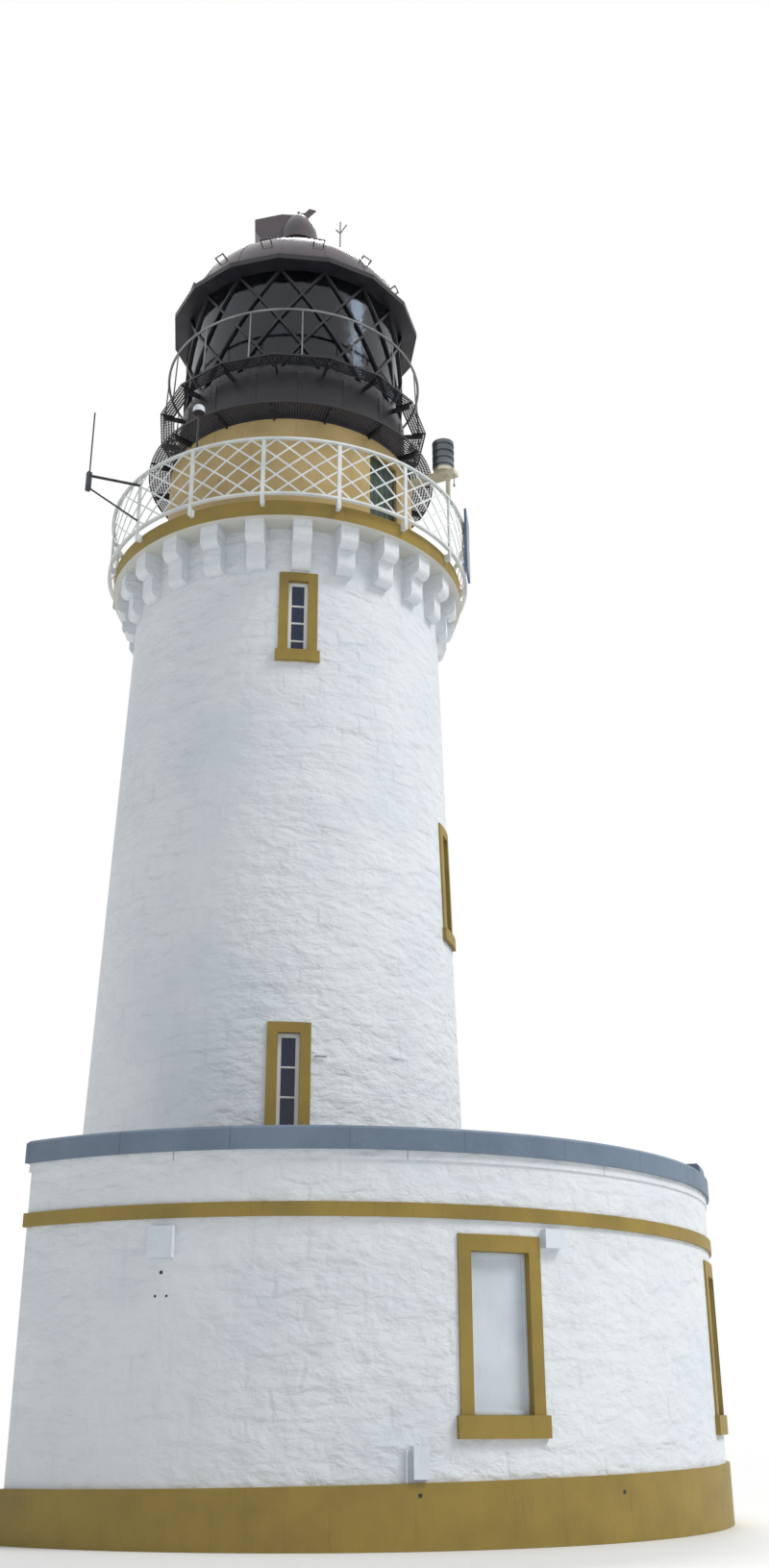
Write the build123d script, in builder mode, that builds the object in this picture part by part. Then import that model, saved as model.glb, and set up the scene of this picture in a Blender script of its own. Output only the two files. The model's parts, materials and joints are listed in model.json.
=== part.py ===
from build123d import *
import os
from math import atan2, cos, degrees, hypot, radians, sin, sqrt

# A white lighthouse: a tapering masonry tower with a corbelled gallery and an iron lantern,
# and a half-round single-storey annex wrapped about its foot.
# All sizes are millimetres. The origin is on the tower's axis at the lowest ground.
# A bearing is an angle about the axis: 0 faces the middle of the annex's round front (-Y),
# and positive bearings turn towards +X.

# Clearances
seat_gap = 0.3
rail_joint = 0.5
spindle_clearance = 1

# Tower
tower_foot_radius = 2923
tower_neck_radius = 2536
tower_bore_radius = 1900
tower_collar_height = 899
tower_joint_bearing = 33
tower_sections = 4

# Annex, with the centre of its round front ahead of the tower's axis
annex_radius = 5350
annex_setback = 880
annex_wall_thickness = 500
annex_sections = 4
annex_wall_head = 3217
floor_level = 300

# Plinth, whose top follows the slope of the ground
plinth_height = 600
plinth_projection = 50
ground_slope = 1.07
uphill_bearing = 40

# Courses round the top of the annex
string_course_height = 152
string_course_projection = 35
parapet_height = 455
parapet_thickness = 300
bed_course_height = 100
bed_course_projection = 20
coping_height = 254
coping_projection = 60
coping_weathering = 30

# Tower windows
window_column_bearing = -46.6
side_window_bearing = 21.5
rear_bearing = 180
tower_window_width = 300
tower_surround_width = 590
tower_lintel_height = 145
tower_sill_width = 670
tower_sill_height = 185
low_window_sill = 4270
low_window_height = 1685
middle_window_sill = 7960
middle_window_height = 1550
top_window_drop = 2129
top_window_height = 1210
rear_low_window_sill = 6300
rear_high_window_sill = 9900
surround_projection = 25
sill_projection = 60
surround_depth = 250
window_frame_width = 54
window_frame_depth = 60
window_recess = 60
glass_thickness = 8

# Annex windows, each closed by a white panel
annex_window_bearings = (-30.2, 19.5, 69)
annex_window_width = 712
annex_window_sill = 1247
annex_window_height = 1643
annex_surround_width = 1007
annex_lintel_height = 175
annex_sill_width = 1090
annex_sill_height = 225
annex_panel_recess = 130
annex_panel_thickness = 45
rear_opening_shift = 286.5

# Doors
tower_door_width = 950
tower_door_height = 2150
annex_door_width = 850
annex_door_height = 2050
door_jamb_width = 180
door_lintel_height = 220
door_recess = 200
door_leaf_thickness = 60
doorstep_height = 150
doorstep_depth = 350

# Gallery on its corbels
gallery_projection = 409
gallery_level = 14180
gallery_slab_thickness = 261
corbel_count = 24
corbel_width = 290
corbel_bearing = -46.1
corbel_setback = 90
corbel_step = 150
corbel_upper_face = 235
corbel_upper_round = 115
corbel_lower_face = 265
corbel_lower_round = 120

# Gallery railing, with a lattice panel in each bay
bay_count = 16
bay_bearing = 9.1
railing_projection = 85
railing_height = 1094
rail_width = 60
rail_thickness = 34
bottom_rail_clearance = 55
post_width = 60
post_depth = 30
post_drop = 110
lattice_lines = 6
lattice_cells = 3
lattice_bar_width = 26
lattice_bar_thickness = 10

# Lantern wall of masonry, with the gallery door in it
lantern_wall_radius = 2120
lantern_wall_thickness = 340
lantern_wall_height = 2120
gallery_door_bearing = -3
gallery_door_width = 700
gallery_door_height = 1750
gallery_door_sill = 100
gallery_door_recess = 90
gallery_door_thickness = 50

# Lantern floor, iron drum, walkways and handrail
lantern_floor_thickness = 50
drum_setback = 120
drum_thickness = 40
drum_height = 1050
drum_flange_width = 110
drum_flange_thickness = 30
walkway_clearance = 20
walkway_thickness = 36
lower_walkway_width = 480
upper_walkway_projection = 395
upper_walkway_gap = 150
upper_walkway_step = 31
bracket_width = 30
bracket_depth = 90
bracket_setback = 60
handrail_projection = 256
handrail_height = 999
handrail_diameter = 44
stanchion_diameter = 26
stanchion_projection = 300

# Glazing
glazing_setback = 26
glazing_sill_height = 50
glazing_height = 2100
glazing_lines = 2
glazing_tiers = 2
astragal_width = 38
astragal_depth = 44
pane_thickness = 8

# Eave, dome and handholds
eave_projection = 250
eave_height = 100
dome_projection = 37
dome_rise = 1513
dome_shell = 30
handhold_count = 13
handhold_inset = 137
handhold_bearing = -94.4
handhold_span = 200
handhold_rise = 110
handhold_rod = 20

# Ventilator: a fixed neck and spindle with a cowl that turns on it
neck_radius = 340
neck_shell = 12
neck_height = 737
spindle_diameter = 40
spindle_rise = 400
socket_wall = 20
socket_depth = 260
spider_drop = 400
spider_height = 60
spider_width = 40
cowl_bearing = -140
cowl_radius = 375
cowl_shell = 12
cowl_skirt_lap = 100
cowl_skirt_height = 140
cowl_crown_rise = 596
hood_width = 400
hood_foot_reach = 700
hood_brow_reach = 320
hood_brow_drop = 104
mouth_lip_reach = 820
mouth_lip_drop = 558
mouth_top_reach = 830
mouth_top_drop = 271
vane_root = 170
vane_reach = 343
vane_peak_reach = 206
vane_peak_rise = 252
vane_tip_rise = 211
vane_thickness = 10
boss_radius = 30
boss_height = 144

# Forked aerial on the dome
dome_aerial_bearing = -23
dome_aerial_inset = 377
dome_aerial_stem = 315
dome_aerial_height = 580
dome_aerial_spread = 130
dome_aerial_arm = 90
dome_aerial_rod = 24

# Lamp inside the lantern
pedestal_radius = 330
pedestal_height = 1400
table_radius = 620
table_thickness = 60
optic_radius = 760
optic_belly = 920
optic_height = 1500

# Fittings on the gallery railing
side_aerial_bay = 11
side_aerial_length = 970
side_aerial_tube = 45
side_aerial_brace = 30
side_aerial_root_drop = 174
side_aerial_tip_drop = 404
side_aerial_brace_root_drop = 844
side_aerial_brace_tip_drop = 604
whip_rise = 800
whip_rod = 24
lamp_bay = 12
lamp_shift = 63
lamp_rod_height = 680
lamp_rod = 34
lamp_cap_radius = 95
lamp_cap_height = 140
beacon_bay = 0
beacon_setback = 80
beacon_radius = 165
beacon_height = 590
beacon_base_height = 50
beacon_ribs = 4
beacon_rib_projection = 18
beacon_rib_height = 70
beacon_arm_clearance = 160
beacon_arm_projection = 150
beacon_arm_width = 200
beacon_arm_height = 75
beacon_post_height = 416
beacon_post_size = 60
side_panel_bearing = 28
side_panel_width = 560
side_panel_height = 1150
side_panel_clearance = 170
side_panel_thickness = 40
side_panel_hook = 40
side_panel_gap = 5

# Boxes on the annex wall, two of them near its head
left_box_bearing = -70.1
left_box_width = 290
left_box_height = 329
left_box_drop = 83
high_box_bearing = -23.1
high_box_width = 250
high_box_height = 200
high_box_drop = 67
low_box_bearing = -40.4
low_box_width = 165
low_box_height = 307
low_box_lift = 50
wall_box_depth = 90

# Levels and radii that follow from those above
rear_face = -annex_setback
rear_opening_offset = (tower_foot_radius + annex_radius) / 2 - rear_opening_shift
deck_level = annex_wall_head + string_course_height
bed_level = deck_level + parapet_height
coping_level = bed_level + bed_course_height
slab_underside = gallery_level - gallery_slab_thickness
neck_level = slab_underside - tower_collar_height
tower_taper = (tower_foot_radius - tower_neck_radius) / neck_level
top_window_sill = slab_underside - top_window_drop
gallery_radius = tower_neck_radius + gallery_projection
corbel_reach = gallery_radius - corbel_setback
corbel_foot_reach = corbel_reach - corbel_step
railing_radius = gallery_radius + railing_projection
rail_top = gallery_level + railing_height
rail_foot = rail_top - rail_thickness
rail_outer = railing_radius + rail_width / 2
rail_inner = railing_radius - rail_width / 2
bottom_rail_level = gallery_level + bottom_rail_clearance
lantern_wall_top = gallery_level + lantern_wall_height
lantern_floor_top = lantern_wall_top + lantern_floor_thickness
drum_top = lantern_floor_top + drum_height
drum_radius = lantern_wall_radius - drum_setback
drum_bore = drum_radius - drum_thickness
flange_bore = drum_radius - drum_flange_width
walkway_bore = drum_radius + walkway_clearance
lower_walkway_radius = walkway_bore + lower_walkway_width
upper_walkway_radius = drum_radius + upper_walkway_projection
upper_walkway_inner_radius = drum_radius + upper_walkway_gap
upper_walkway_level = drum_top + upper_walkway_step
handrail_radius = drum_radius + handrail_projection
handrail_level = upper_walkway_level + handrail_height
stanchion_foot_radius = drum_radius + stanchion_projection
glazing_radius = drum_radius - glazing_setback
glazing_foot = drum_top + glazing_sill_height
glazing_head = glazing_foot + glazing_height
eave_radius = drum_radius + eave_projection
dome_base = glazing_head + eave_height
dome_radius = drum_radius + dome_projection
handhold_radius = dome_radius - handhold_inset
dome_aerial_radius = dome_radius - dome_aerial_inset
neck_top = dome_base + dome_rise + neck_height
spindle_top = neck_top + spindle_rise
spider_level = neck_top - spider_drop
cowl_skirt_level = neck_top - cowl_skirt_lap
cowl_shoulder_level = cowl_skirt_level + cowl_skirt_height
cowl_crown_level = cowl_shoulder_level + cowl_crown_rise
hood_brow_level = cowl_crown_level - hood_brow_drop
mouth_lip_level = cowl_crown_level - mouth_lip_drop
mouth_top_level = cowl_crown_level - mouth_top_drop
bay_angle = 360 / bay_count

os.makedirs("parts", exist_ok=True)


def polar(bearing):
    """The angle from +X, counter-clockwise from above, of a bearing."""
    return bearing - 90


def spot(bearing, radius, level=0, centre_y=0):
    """The point at a bearing, radius and level about the tower's axis or the annex's."""
    angle = radians(polar(bearing))
    return (radius * cos(angle), centre_y + radius * sin(angle), level)


def facing(bearing, radius, centre_y=0):
    """An upright plane that faces out at a bearing, with its local Y upwards."""
    angle = radians(polar(bearing))
    return Plane(
        origin=spot(bearing, radius, 0, centre_y),
        x_dir=(-sin(angle), cos(angle), 0),
        z_dir=(cos(angle), sin(angle), 0),
    )


def along(bearing):
    """An upright plane through the axis: its local X runs out at a bearing, its Y upwards."""
    angle = radians(polar(bearing))
    return Plane(
        origin=(0, 0, 0),
        x_dir=(cos(angle), sin(angle), 0),
        z_dir=(sin(angle), -cos(angle), 0),
    )


def upright_block(plane, depth, width, bottom, top):
    """A block that stands on an upright plane, between two levels."""
    with BuildPart() as block:
        with BuildSketch(plane):
            with Locations((0, (bottom + top) / 2)):
                Rectangle(width, top - bottom)
        extrude(amount=depth)
    return block.part


def tower_block(bearing, inner, outer, width, bottom, top):
    """A block at a bearing about the tower's axis, between two distances from it."""
    return upright_block(facing(bearing, inner), outer - inner, width, bottom, top)


def rear_block(offset, near, far, width, bottom, top):
    """A block at the straight rear wall, between two distances from its outer face."""
    plane = Plane(origin=(offset, rear_face + near, 0), x_dir=(-1, 0, 0), z_dir=(0, 1, 0))
    return upright_block(plane, far - near, width, bottom, top)


def annex_window_blocks(near, far, width, bottom, top):
    """The same block at each annex window, between two distances from the wall's outer face."""
    blocks = []
    for bearing in annex_window_bearings:
        plane = facing(bearing, annex_radius + near, rear_face)
        blocks.append(upright_block(plane, far - near, width, bottom, top))
    blocks.append(rear_block(-rear_opening_offset, near, far, width, bottom, top))
    return blocks


def round_bar(start, end, diameter):
    """A straight round bar between two points."""
    run = Vector(*end) - Vector(*start)
    with BuildPart() as bar:
        with BuildSketch(Plane(origin=start, z_dir=run)):
            Circle(diameter / 2)
        extrude(amount=run.length)
    return bar.part


def ring(level, height, outer, inner):
    """A plain ring about the tower's axis."""
    with BuildPart() as band:
        with BuildSketch(Plane.XY.offset(level)):
            Circle(outer)
            Circle(inner, mode=Mode.SUBTRACT)
        extrude(amount=height)
    return band.part


def tower_radius_at(level):
    """The tower's outer radius at a level."""
    return max(tower_neck_radius, tower_foot_radius - tower_taper * level)


def tower_body(growth):
    """The tower's solid outer form from the ground to the gallery, grown by an amount."""
    with BuildPart() as body:
        with BuildSketch(Plane.XZ):
            with BuildLine():
                Polyline(
                    (0, 0),
                    (tower_foot_radius + growth, 0),
                    (tower_neck_radius + growth, neck_level),
                    (tower_neck_radius + growth, slab_underside),
                    (0, slab_underside),
                    close=True,
                )
            make_face()
        revolve(axis=Axis.Z)
    return body.part


def half_round(growth, mode=Mode.ADD):
    """The annex's plan in the sketch in hand, grown by an amount."""
    radius = annex_radius + growth
    back = rear_face + growth
    half_width = sqrt(radius**2 - growth**2)
    with BuildLine() as outline:
        ThreePointArc((-half_width, back), (0, rear_face - radius), (half_width, back))
        Line((half_width, back), (-half_width, back))
    make_face(outline.edges(), mode=mode)


def rear_strip(mode):
    """The strip of the plan that the straight rear wall takes, in the sketch in hand."""
    with Locations((0, rear_face - annex_wall_thickness / 2)):
        Rectangle(3 * annex_radius, annex_wall_thickness, mode=mode)


def sector(start, end, reach, centre_y, mode):
    """A wedge of the plan between two bearings, in the sketch in hand."""
    first = spot(start, 2 * reach, 0, centre_y)
    middle = spot((start + end) / 2, 2 * reach, 0, centre_y)
    last = spot(end, 2 * reach, 0, centre_y)
    with BuildLine() as outline:
        Polyline((0, centre_y), first[:2], middle[:2], last[:2], close=True)
    make_face(outline.edges(), mode=mode)


def annex_solid(growth, height):
    """The annex's solid outer form from the ground up, grown by an amount."""
    with BuildPart() as body:
        with BuildSketch(Plane.XY):
            half_round(growth)
        extrude(amount=height)
    return body.part


def course(level, height, growth, thickness):
    """A course that follows the annex's plan and ends against the tower."""
    with BuildPart() as band:
        with BuildSketch(Plane.XY.offset(level)):
            half_round(growth)
            half_round(growth - thickness, mode=Mode.SUBTRACT)
        extrude(amount=height)
        add(tower_body(seat_gap), mode=Mode.SUBTRACT)
    return band.part


def plinth_top():
    """The tilted plane on top of the plinth."""
    uphill = radians(polar(uphill_bearing))
    tilt = radians(ground_slope)
    normal = (-sin(tilt) * cos(uphill), -sin(tilt) * sin(uphill), cos(tilt))
    return Plane(origin=(0, rear_face, plinth_height), z_dir=normal)


def bay_shell(level, height, outer, inner, trim):
    """The first bay of a ring about the tower's axis, trimmed back at both ends."""
    trim_angle = degrees(trim / inner)
    with BuildPart() as shell:
        with BuildSketch(Plane.XY.offset(level)):
            Circle(outer)
            Circle(inner, mode=Mode.SUBTRACT)
            start = bay_bearing + trim_angle
            end = bay_bearing + bay_angle - trim_angle
            sector(start, end, outer, 0, Mode.INTERSECT)
        extrude(amount=height)
    return shell.part


def lattice_bay(foot, head, lines, slope, pitch, bar_width, shell):
    """Crossed diagonal bars in the first bay, bent to the given shell."""
    reach = 2 * hypot(head - foot, lines * pitch)
    with BuildPart() as lattice:
        with BuildSketch(facing(bay_bearing + bay_angle / 2, tower_bore_radius / 2)):
            for step in range(lines):
                offset = (step - (lines - 1) / 2) * pitch
                with Locations((offset, (foot + head) / 2)):
                    Rectangle(reach, bar_width, rotation=slope)
                    Rectangle(reach, bar_width, rotation=-slope)
        extrude(amount=gallery_radius)
        add(shell, mode=Mode.INTERSECT)
    return lattice.part


def every_bay(part):
    """A piece of the first bay, repeated in all of them."""
    with BuildPart() as pattern:
        with PolarLocations(0, bay_count):
            add(part)
    return pattern.part


def walkway_bracket(inner_radius, outer_radius, top):
    """A bracket under a walkway, from a round wall outwards."""
    with BuildPart() as bracket:
        add(
            tower_block(
                bay_bearing,
                inner_radius / 2,
                outer_radius - bracket_setback,
                bracket_width,
                top - bracket_depth,
                top,
            )
        )
        with BuildSketch(Plane.XY.offset(top - bracket_depth)):
            Circle(inner_radius + seat_gap)
        extrude(amount=bracket_depth, mode=Mode.SUBTRACT)
    return bracket.part


def dome_form(growth):
    """The dome's solid form above its foot, grown by an amount."""
    radius = dome_radius + growth
    rise = dome_rise + growth
    with BuildPart() as form:
        with BuildSketch(Plane.XZ):
            with BuildLine():
                EllipticalCenterArc((0, dome_base), radius, rise, start_angle=0, arc_size=90)
                Polyline((0, dome_base + rise), (0, dome_base), (radius, dome_base))
            make_face()
        revolve(axis=Axis.Z)
    return form.part


def dome_level_at(radius):
    """The level of the dome's face at a distance from the axis."""
    return dome_base + dome_rise * sqrt(1 - (radius / dome_radius) ** 2)


def handhold():
    """A rod bent to a U that stands off the dome, with its legs square to the dome's face."""
    level = dome_level_at(handhold_radius)
    lean = atan2(dome_radius**2 * (level - dome_base) / dome_rise, dome_rise * handhold_radius)
    angle = radians(polar(handhold_bearing))
    plane = Plane(
        origin=spot(handhold_bearing, handhold_radius, level),
        x_dir=(-sin(angle), cos(angle), 0),
        z_dir=(sin(lean) * cos(angle), sin(lean) * sin(angle), -cos(lean)),
    )
    with BuildPart() as rod:
        with BuildSketch(plane):
            Rectangle(handhold_span, 2 * handhold_rise)
            inner_rise = handhold_rise - handhold_rod
            Rectangle(handhold_span - 2 * handhold_rod, 2 * inner_rise, mode=Mode.SUBTRACT)
        extrude(amount=handhold_rod / 2, both=True)
        add(dome_form(seat_gap), mode=Mode.SUBTRACT)
    return rod.part


def finish(part, name):
    """Label a finished piece and write it."""
    part.label = name
    export_step(part, f"parts/{name}.step")


# Tower wall, in upright sections with window and door openings cut through
tower_windows = (
    (window_column_bearing, low_window_sill, low_window_height),
    (window_column_bearing, top_window_sill, top_window_height),
    (side_window_bearing, middle_window_sill, middle_window_height),
    (rear_bearing, rear_low_window_sill, middle_window_height),
    (rear_bearing, rear_high_window_sill, middle_window_height),
)
beyond_tower = tower_foot_radius + 2 * sill_projection
inside_tower = tower_bore_radius / 2
window_stones = []
window_sills = []
window_openings = []
for bearing, sill, height in tower_windows:
    seat = tower_radius_at(sill) - surround_depth
    head = sill + height
    lintel_top = head + tower_lintel_height
    sill_foot = sill - tower_sill_height
    window_stones.append(
        tower_block(bearing, seat, beyond_tower, tower_surround_width, sill, lintel_top)
    )
    window_sills.append(
        tower_block(bearing, seat, beyond_tower, tower_sill_width, sill_foot, sill)
    )
    window_openings.append(
        tower_block(bearing, inside_tower, beyond_tower, tower_window_width, sill, head)
    )

tower_door_head = floor_level + tower_door_height
tower_door_block = tower_block(
    rear_bearing,
    tower_radius_at(tower_door_head) - surround_depth,
    beyond_tower,
    tower_door_width + 2 * door_jamb_width,
    floor_level,
    tower_door_head + door_lintel_height,
)
tower_door_opening = tower_block(
    rear_bearing, inside_tower, beyond_tower, tower_door_width, floor_level, tower_door_head
)
tower_cuts = window_stones + window_sills + window_openings
tower_cuts += [tower_door_block, tower_door_opening]

section_angle = 360 / tower_sections
for section in range(tower_sections):
    start = tower_joint_bearing + section * section_angle
    with BuildPart() as tower_wall:
        add(tower_body(0))
        with BuildSketch(Plane.XY):
            Circle(tower_bore_radius)
        extrude(amount=slab_underside, mode=Mode.SUBTRACT)
        with BuildSketch(Plane.XY):
            sector(start, start + section_angle, tower_foot_radius, 0, Mode.ADD)
        extrude(amount=slab_underside, mode=Mode.INTERSECT)
        for cut in tower_cuts:
            add(cut, mode=Mode.SUBTRACT)
    finish(tower_wall.part, f"tower_wall_{section + 1}")

# Tower floor
with BuildPart() as tower_floor:
    with BuildSketch(Plane.XY):
        Circle(tower_bore_radius - seat_gap)
    extrude(amount=floor_level)
finish(tower_floor.part, "tower_floor")

# Tower window surrounds, each with its sill
with BuildPart() as tower_window_surrounds:
    for stones, sill_stone, opening in zip(window_stones, window_sills, window_openings):
        with BuildPart(mode=Mode.PRIVATE) as jambs:
            add(stones)
            add(tower_body(surround_projection), mode=Mode.INTERSECT)
            add(opening, mode=Mode.SUBTRACT)
        with BuildPart(mode=Mode.PRIVATE) as ledge:
            add(sill_stone)
            add(tower_body(sill_projection), mode=Mode.INTERSECT)
        add(jambs.part)
        add(ledge.part)
finish(tower_window_surrounds.part, "tower_window_surrounds")

# White frames in the tower windows, and their glass
clear_width = tower_window_width - 2 * window_frame_width
with BuildPart() as tower_window_frames:
    for bearing, sill, height in tower_windows:
        face = tower_radius_at(sill + height) - window_recess
        with BuildSketch(facing(bearing, face - window_frame_depth)):
            with Locations((0, sill + height / 2)):
                Rectangle(tower_window_width, height)
                Rectangle(clear_width, height - 2 * window_frame_width, mode=Mode.SUBTRACT)
        extrude(amount=window_frame_depth)
finish(tower_window_frames.part, "tower_window_frames")

with BuildPart() as tower_window_glass:
    for bearing, sill, height in tower_windows:
        back = tower_radius_at(sill + height) - window_recess - window_frame_depth / 2
        pane_foot = sill + window_frame_width
        pane_head = sill + height - window_frame_width
        pane_face = back + glass_thickness
        add(tower_block(bearing, back, pane_face, clear_width, pane_foot, pane_head))
finish(tower_window_glass.part, "tower_window_glass")

# Annex openings
annex_window_top = annex_window_sill + annex_window_height
annex_surround_top = annex_window_top + annex_lintel_height
annex_sill_foot = annex_window_sill - annex_sill_height
annex_door_head = floor_level + annex_door_height
beyond_annex = 3 * sill_projection
inside_annex = -2 * annex_wall_thickness
annex_stones = annex_window_blocks(
    -surround_depth, beyond_annex, annex_surround_width, annex_window_sill, annex_surround_top
)
annex_sills = annex_window_blocks(
    -surround_depth, beyond_annex, annex_sill_width, annex_sill_foot, annex_window_sill
)
annex_openings = annex_window_blocks(
    inside_annex, beyond_annex, annex_window_width, annex_window_sill, annex_window_top
)
annex_door_block = rear_block(
    rear_opening_offset,
    -surround_depth,
    beyond_annex,
    annex_door_width + 2 * door_jamb_width,
    floor_level,
    annex_door_head + door_lintel_height,
)
annex_door_opening = rear_block(
    rear_opening_offset,
    inside_annex,
    beyond_annex,
    annex_door_width,
    floor_level,
    annex_door_head,
)
annex_cuts = annex_stones + annex_sills + annex_openings
annex_cuts += [annex_door_block, annex_door_opening]

# Annex walls: the round front in sections, and the straight rear on each side of the tower
annex_angle = 180 / annex_sections
for section in range(annex_sections):
    start = -90 + section * annex_angle
    with BuildPart() as annex_wall:
        with BuildSketch(Plane.XY):
            half_round(0)
            half_round(-annex_wall_thickness, mode=Mode.SUBTRACT)
            rear_strip(Mode.SUBTRACT)
            sector(start, start + annex_angle, annex_radius, rear_face, Mode.INTERSECT)
        extrude(amount=annex_wall_head)
        split(bisect_by=plinth_top(), keep=Keep.TOP)
        for cut in annex_cuts:
            add(cut, mode=Mode.SUBTRACT)
    finish(annex_wall.part, f"annex_wall_{section + 1}")

with BuildPart() as annex_rear_walls:
    with BuildSketch(Plane.XY):
        half_round(0)
        rear_strip(Mode.INTERSECT)
    extrude(amount=annex_wall_head)
    split(bisect_by=plinth_top(), keep=Keep.TOP)
    add(tower_body(seat_gap), mode=Mode.SUBTRACT)
    for cut in annex_cuts:
        add(cut, mode=Mode.SUBTRACT)
finish(annex_rear_walls.part, "annex_rear_walls")

# Plinth under the annex walls
with BuildPart() as plinth:
    add(course(0, 2 * plinth_height, plinth_projection, plinth_projection + annex_wall_thickness))
    split(bisect_by=plinth_top(), keep=Keep.BOTTOM)
    add(annex_door_block, mode=Mode.SUBTRACT)
    add(annex_door_opening, mode=Mode.SUBTRACT)
finish(plinth.part, "plinth")

# Annex floor and roof slabs
with BuildPart() as annex_floor:
    with BuildSketch(Plane.XY):
        half_round(-annex_wall_thickness - seat_gap)
    extrude(amount=floor_level)
    add(tower_body(seat_gap), mode=Mode.SUBTRACT)
finish(annex_floor.part, "annex_floor")

with BuildPart() as annex_roof:
    with BuildSketch(Plane.XY.offset(annex_wall_head)):
        half_round(-parapet_thickness - seat_gap)
    extrude(amount=string_course_height)
    add(tower_body(seat_gap), mode=Mode.SUBTRACT)
finish(annex_roof.part, "annex_roof")

# String course, parapet with its bed course, and the coping
with BuildPart() as string_course:
    band_width = string_course_projection + parapet_thickness
    add(course(annex_wall_head, string_course_height, string_course_projection, band_width))
finish(string_course.part, "string_course")

with BuildPart() as parapet:
    add(course(deck_level, parapet_height, 0, parapet_thickness))
    bed_width = parapet_thickness + bed_course_projection
    add(course(bed_level, bed_course_height, bed_course_projection, bed_width))
finish(parapet.part, "parapet")

with BuildPart() as coping:
    with BuildSketch(Plane.XY.offset(coping_level)):
        half_round(coping_projection)
        half_round(-parapet_thickness - coping_projection, mode=Mode.SUBTRACT)
    extrude(amount=coping_height)
    chamfer(coping.edges().group_by(Axis.Z)[-1], length=coping_weathering)
    add(tower_body(seat_gap), mode=Mode.SUBTRACT)
finish(coping.part, "coping")

# Annex window surrounds and the white panels that close them
with BuildPart() as annex_window_surrounds:
    for stones, sill_stone, opening in zip(annex_stones, annex_sills, annex_openings):
        with BuildPart(mode=Mode.PRIVATE) as jambs:
            add(stones)
            add(annex_solid(surround_projection, annex_wall_head), mode=Mode.INTERSECT)
            add(opening, mode=Mode.SUBTRACT)
        with BuildPart(mode=Mode.PRIVATE) as ledge:
            add(sill_stone)
            add(annex_solid(sill_projection, annex_wall_head), mode=Mode.INTERSECT)
        add(jambs.part)
        add(ledge.part)
finish(annex_window_surrounds.part, "annex_window_surrounds")

panel_face = surround_projection - annex_panel_recess
panel_back = panel_face - annex_panel_thickness
with BuildPart() as annex_window_panels:
    for panel in annex_window_blocks(
        panel_back, panel_face, annex_window_width, annex_window_sill, annex_window_top
    ):
        add(panel)
finish(annex_window_panels.part, "annex_window_panels")

# Doors: stone surrounds, plain leaves and a step below each
with BuildPart() as door_surrounds:
    with BuildPart(mode=Mode.PRIVATE) as tower_door_stones:
        add(tower_door_block)
        add(tower_body(surround_projection), mode=Mode.INTERSECT)
        add(tower_door_opening, mode=Mode.SUBTRACT)
    with BuildPart(mode=Mode.PRIVATE) as annex_door_stones:
        add(annex_door_block)
        add(annex_solid(surround_projection, annex_wall_head), mode=Mode.INTERSECT)
        add(annex_door_opening, mode=Mode.SUBTRACT)
    add(tower_door_stones.part)
    add(annex_door_stones.part)
finish(door_surrounds.part, "door_surrounds")

leaf_face = tower_radius_at(tower_door_head) - door_recess
leaf_back = leaf_face - door_leaf_thickness
entrance_door = tower_block(
    rear_bearing, leaf_back, leaf_face, tower_door_width, floor_level, tower_door_head
)
finish(entrance_door, "entrance_door")

annex_door = rear_block(
    rear_opening_offset,
    -door_recess - door_leaf_thickness,
    -door_recess,
    annex_door_width,
    floor_level,
    annex_door_head,
)
finish(annex_door, "annex_door")

with BuildPart() as doorsteps:
    step_width = tower_door_width + 2 * door_jamb_width
    step_reach = tower_foot_radius + doorstep_depth
    add(tower_block(rear_bearing, tower_bore_radius, step_reach, step_width, 0, doorstep_height))
    add(tower_body(seat_gap), mode=Mode.SUBTRACT)
    annex_step_width = annex_door_width + 2 * door_jamb_width
    add(
        rear_block(
            rear_opening_offset,
            plinth_projection,
            plinth_projection + doorstep_depth,
            annex_step_width,
            0,
            doorstep_height,
        )
    )
finish(doorsteps.part, "doorsteps")

# Small boxes on the annex wall
left_box_foot = annex_wall_head - left_box_drop - left_box_height
high_box_foot = annex_wall_head - high_box_drop - high_box_height
low_box_foot = plinth_height + low_box_lift
box_places = (
    (left_box_bearing, left_box_foot, left_box_width, left_box_height),
    (high_box_bearing, high_box_foot, high_box_width, high_box_height),
    (low_box_bearing, low_box_foot, low_box_width, low_box_height),
)
with BuildPart() as wall_boxes:
    for bearing, foot, width, height in box_places:
        plane = facing(bearing, annex_radius - wall_box_depth, rear_face)
        add(upright_block(plane, 2 * wall_box_depth, width, foot, foot + height))
    add(annex_solid(seat_gap, annex_wall_head), mode=Mode.SUBTRACT)
finish(wall_boxes.part, "wall_boxes")

# Gallery slab and the corbels under it
with BuildPart() as gallery_slab:
    with BuildSketch(Plane.XY.offset(slab_underside)):
        Circle(gallery_radius)
    extrude(amount=gallery_slab_thickness)
finish(gallery_slab.part, "gallery_slab")

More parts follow.
